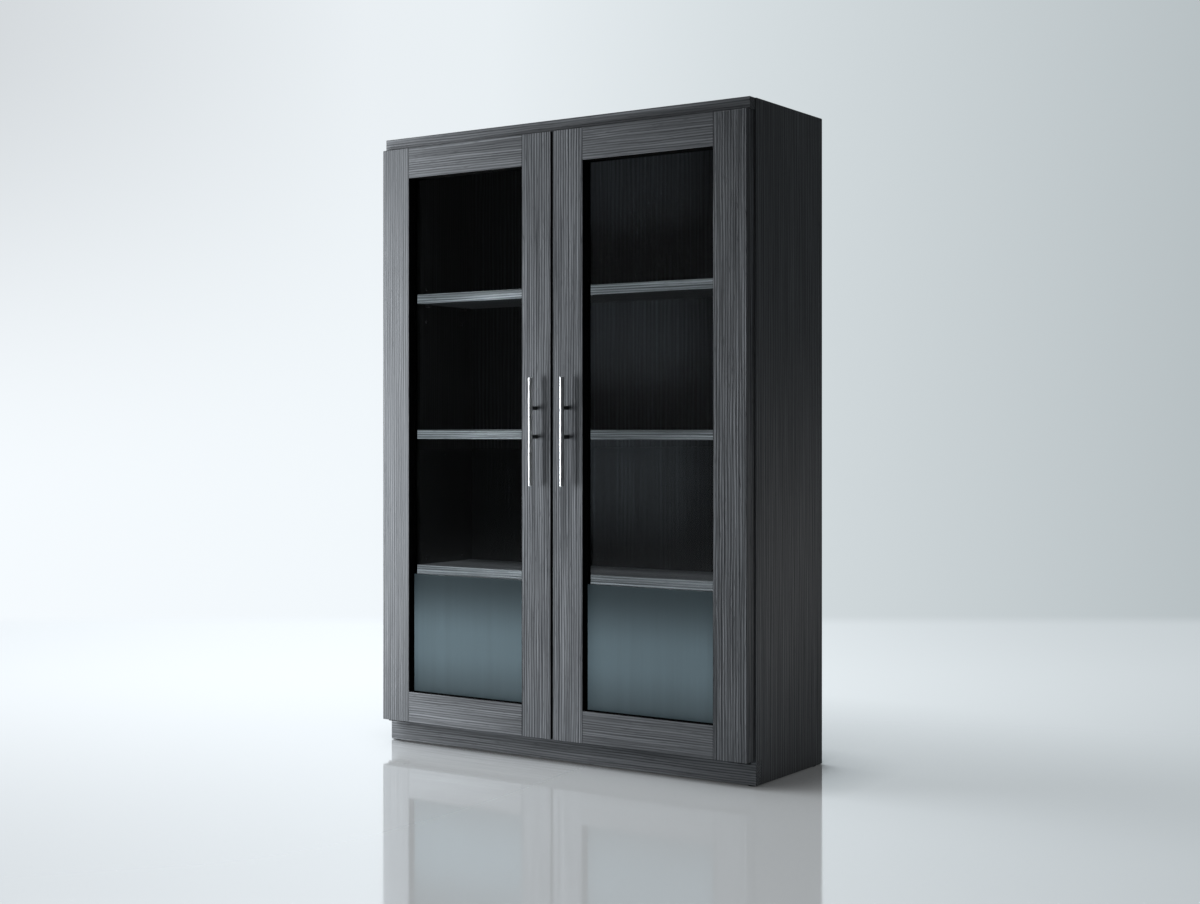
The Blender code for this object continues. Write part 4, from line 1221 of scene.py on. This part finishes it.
@dataclass
class Studio:
    """The camera at the photograph's angle, the pale floor, the background and the lights."""

    camera_place: Point = (1.80914, -2.63567, 0.59667)
    camera_turn: float = math.radians(34.17)
    focal_px: float = 1735.34
    horizon_above_middle_px: float = 22.68
    sensor_width: float = 36.0
    floor_reach: float = 30.0
    wall_distance: float = 5.50
    floor_tones: FloorTones = FloorTones()
    wall_tones: WallTones = WallTones()

    @property
    def forward(self) -> Vector:
        """Return the level direction that the camera looks in."""
        return Vector((-math.sin(self.camera_turn), math.cos(self.camera_turn), 0.0))

    @property
    def rightward(self) -> Vector:
        """Return the level direction to the right of the picture."""
        return self.forward.cross(UP)

    def build_camera(self) -> None:
        """Make the level camera, shifted to the photograph's horizon."""
        data = bpy.data.cameras.new("photo_camera")
        data.sensor_width = self.sensor_width
        data.lens = self.focal_px / PHOTO_WIDTH_PX * self.sensor_width
        data.shift_y = -self.horizon_above_middle_px / PHOTO_WIDTH_PX
        camera = bpy.data.objects.new("photo_camera", data)
        camera.location = self.camera_place
        camera.rotation_euler = (math.pi / 2, 0.0, self.camera_turn)
        bpy.context.scene.collection.objects.link(camera)
        bpy.context.scene.camera = camera

    def build_floor(self) -> None:
        """Make the pale glossy floor, which keeps shadows and fades into the background.

        It is one triangle around a circle of the floor's reach, so no inner edge crosses the picture.
        """
        shape = bmesh.new()
        far = 2.0 * self.floor_reach
        turns = [2.0 * math.pi * corner / 3.0 for corner in range(3)]
        corners = [(far * math.cos(turn), far * math.sin(turn), 0.0) for turn in turns]
        shape.faces.new([shape.verts.new(corner) for corner in corners])
        mesh = bpy.data.meshes.new("studio_floor")
        shape.to_mesh(mesh)
        shape.free()
        floor = bpy.data.objects.new("studio_floor", mesh)
        bpy.context.scene.collection.objects.link(floor)
        mesh.materials.append(FloorFinish(self).build())

    def background_colour(self, graph: ShaderGraph, ray: Socket) -> Socket:
        """Return the background's colour in a direction: white at the left, grey at the right and top left.

        Args:
            graph: The node tree to draw in.
            ray: The unit direction looked in.

        Returns:
            The colour's socket.
        """
        tones = self.wall_tones
        across = graph.dot(ray, self.rightward)
        pale = graph.ramp(graph.remap(across, *tones.across), tones.stops)
        corner = graph.math("MULTIPLY", graph.remap(graph.dot(ray, UP), *tones.corner_rise, smooth=True),
                            graph.remap(across, *tones.corner_across))
        return graph.scaled(pale, graph.remap(corner, *tones.corner_shade))

    def build_world(self) -> None:
        """Make the background: pale to the eye and in gloss behind the cabinet, dim as light."""
        tones = self.wall_tones
        world = bpy.data.worlds.new("studio_world")
        bpy.context.scene.world = world
        graph = ShaderGraph(world)
        ray = graph.add("TexCoord").outputs["Generated"]
        pale = self.background_colour(graph, ray)
        seen, image = graph.sight()
        rising = graph.dot(ray, UP)
        ahead = graph.dot(ray, self.forward)
        behind = graph.math("MAXIMUM", graph.remap(ahead, *tones.mirrored_behind, smooth=True),
                            graph.remap(rising, *tones.mirrored_above, smooth=True))
        ambient = graph.remap(rising, *tones.ambient, smooth=True)
        unseen = graph.add("Mix", {"Factor": image, "A": ambient, "B": behind})
        strength = graph.add("Mix", {"Factor": seen, "A": unseen.outputs[0], "B": 1.0}).outputs[0]
        eye = graph.math("MAXIMUM", seen, image)
        colour = graph.blended(eye, opaque(tones.unseen), pale)
        shade = graph.add("Background", {"Color": colour, "Strength": strength})
        graph.close(shade.outputs[0], "World")

    def build_lights(self) -> None:
        """Make the tall key light at the front left, a light for each part of the inside, and the washes."""
        doors = [f"{side.word}_door" for side in Side]
        frosted = tuple(f"{door}_frosted_pane" for door in doors)
        clear = tuple(f"{door}_clear_pane" for door in doors)
        sides = tuple(f"{side.word}_side_panel" for side in Side)
        surround = tuple(f"{door}_{piece}" for door in doors
                         for piece in (*FRAME_PIECES, "glazing_gasket", "glazing_bead", "frosted_pane"))
        floor = ("studio_floor",)
        handle_stiles = tuple(f"{door}_handle_stile" for door in doors)
        fronts = (*floor, *sides, *SHELVES, "back_panel", *frosted, *clear, *handle_stiles)
        right_ends = ("right_side_panel", "right_door_hinge_stile", "top_fascia", "plinth_board")
        key = ((-0.95, -0.51, 0.60), (0.0, -0.22, 0.60), (0.40, 1.30), 31.2)
        lights = (
            SoftLight("key_softbox", *key, never_on=fronts),
            SoftLight("key_through_glass", *key, only_on=clear, mirrored=False),
            SoftLight("handle_light", (-1.26, -1.12, 0.48), (0.0, -0.12, 0.52), (0.70, 1.00), 45.0,
                      only_on=handle_stiles, mirrored=False),
            SoftLight("shelf_light", (-1.50, -0.98, 0.20), (0.0, -0.22, 0.42), (0.40, 1.30), 70.0,
                      (0.84, 0.955, 1.0), only_on=SHELVES, passes=(*surround, *sides)),
            SoftLight("shelf_top_light", (-0.35, -0.56, 1.62), (0.0, -0.10, 0.36), (0.60, 0.20), 14.0,
                      only_on=("lower_shelf",), passes=(*surround, *sides), mirrored=False),
            SoftLight("back_light", (-1.15, -1.22, -0.18), (0.0, 0.10, 0.48), (0.40, 0.60), 38.0,
                      (0.84, 0.93, 1.0), only_on=("back_panel",), passes=floor),
            SoftLight("glass_wash", (-2.0, -1.9, 0.9), (0.0, -0.1, 0.2), (0.8, 0.8), 48.5, only_on=frosted,
                      passes=surround, mirrored=False, refracted=False),
            SoftLight("floor_wash", (-1.5, -0.6, 3.6), (0.2, 0.1, 0.0), (1.6, 1.6), 125.0, only_on=floor),
            SoftLight("top_light", (0.0, 0.02, 2.4), (0.0, 0.02, 1.15), (0.7, 0.2), 10.0, never_on=floor),
            SoftLight("rear_light", (0.0, 2.0, 0.8), (0.0, 0.14, 0.6), (0.7, 1.0), 27.0, never_on=floor,
                      mirrored=False),
            SoftLight("left_light", (-2.4, 0.02, 0.9), (-0.4, 0.02, 0.6), (0.3, 1.0), 22.0,
                      only_on=("left_side_panel",), mirrored=False),
            SoftLight("right_card", (0.92, 0.02, 0.33), (0.40, 0.02, 0.34), (0.30, 0.25), 0.15,
                      (1.0, 0.97, 0.93), only_on=right_ends, mirrored=False, spread=math.radians(90.0)),
        )
        for light in lights:
            light.build()

    def build(self) -> None:
        """Make the whole studio around the finished cabinet."""
        self.build_camera()
        self.build_floor()
        self.build_world()
        self.build_lights()


def main() -> None:
    """Dress the cabinet piece by piece and build the studio around it."""
    logging.basicConfig(level=logging.INFO, format="%(name)s: %(message)s")
    bpy.context.scene.view_settings.view_transform = "Standard"
    finishes = Finishes()
    Carcass(finishes).build()
    for side in Side:
        Door(finishes, side).build()
    Studio().build()


if __name__ == "__main__":
    main()
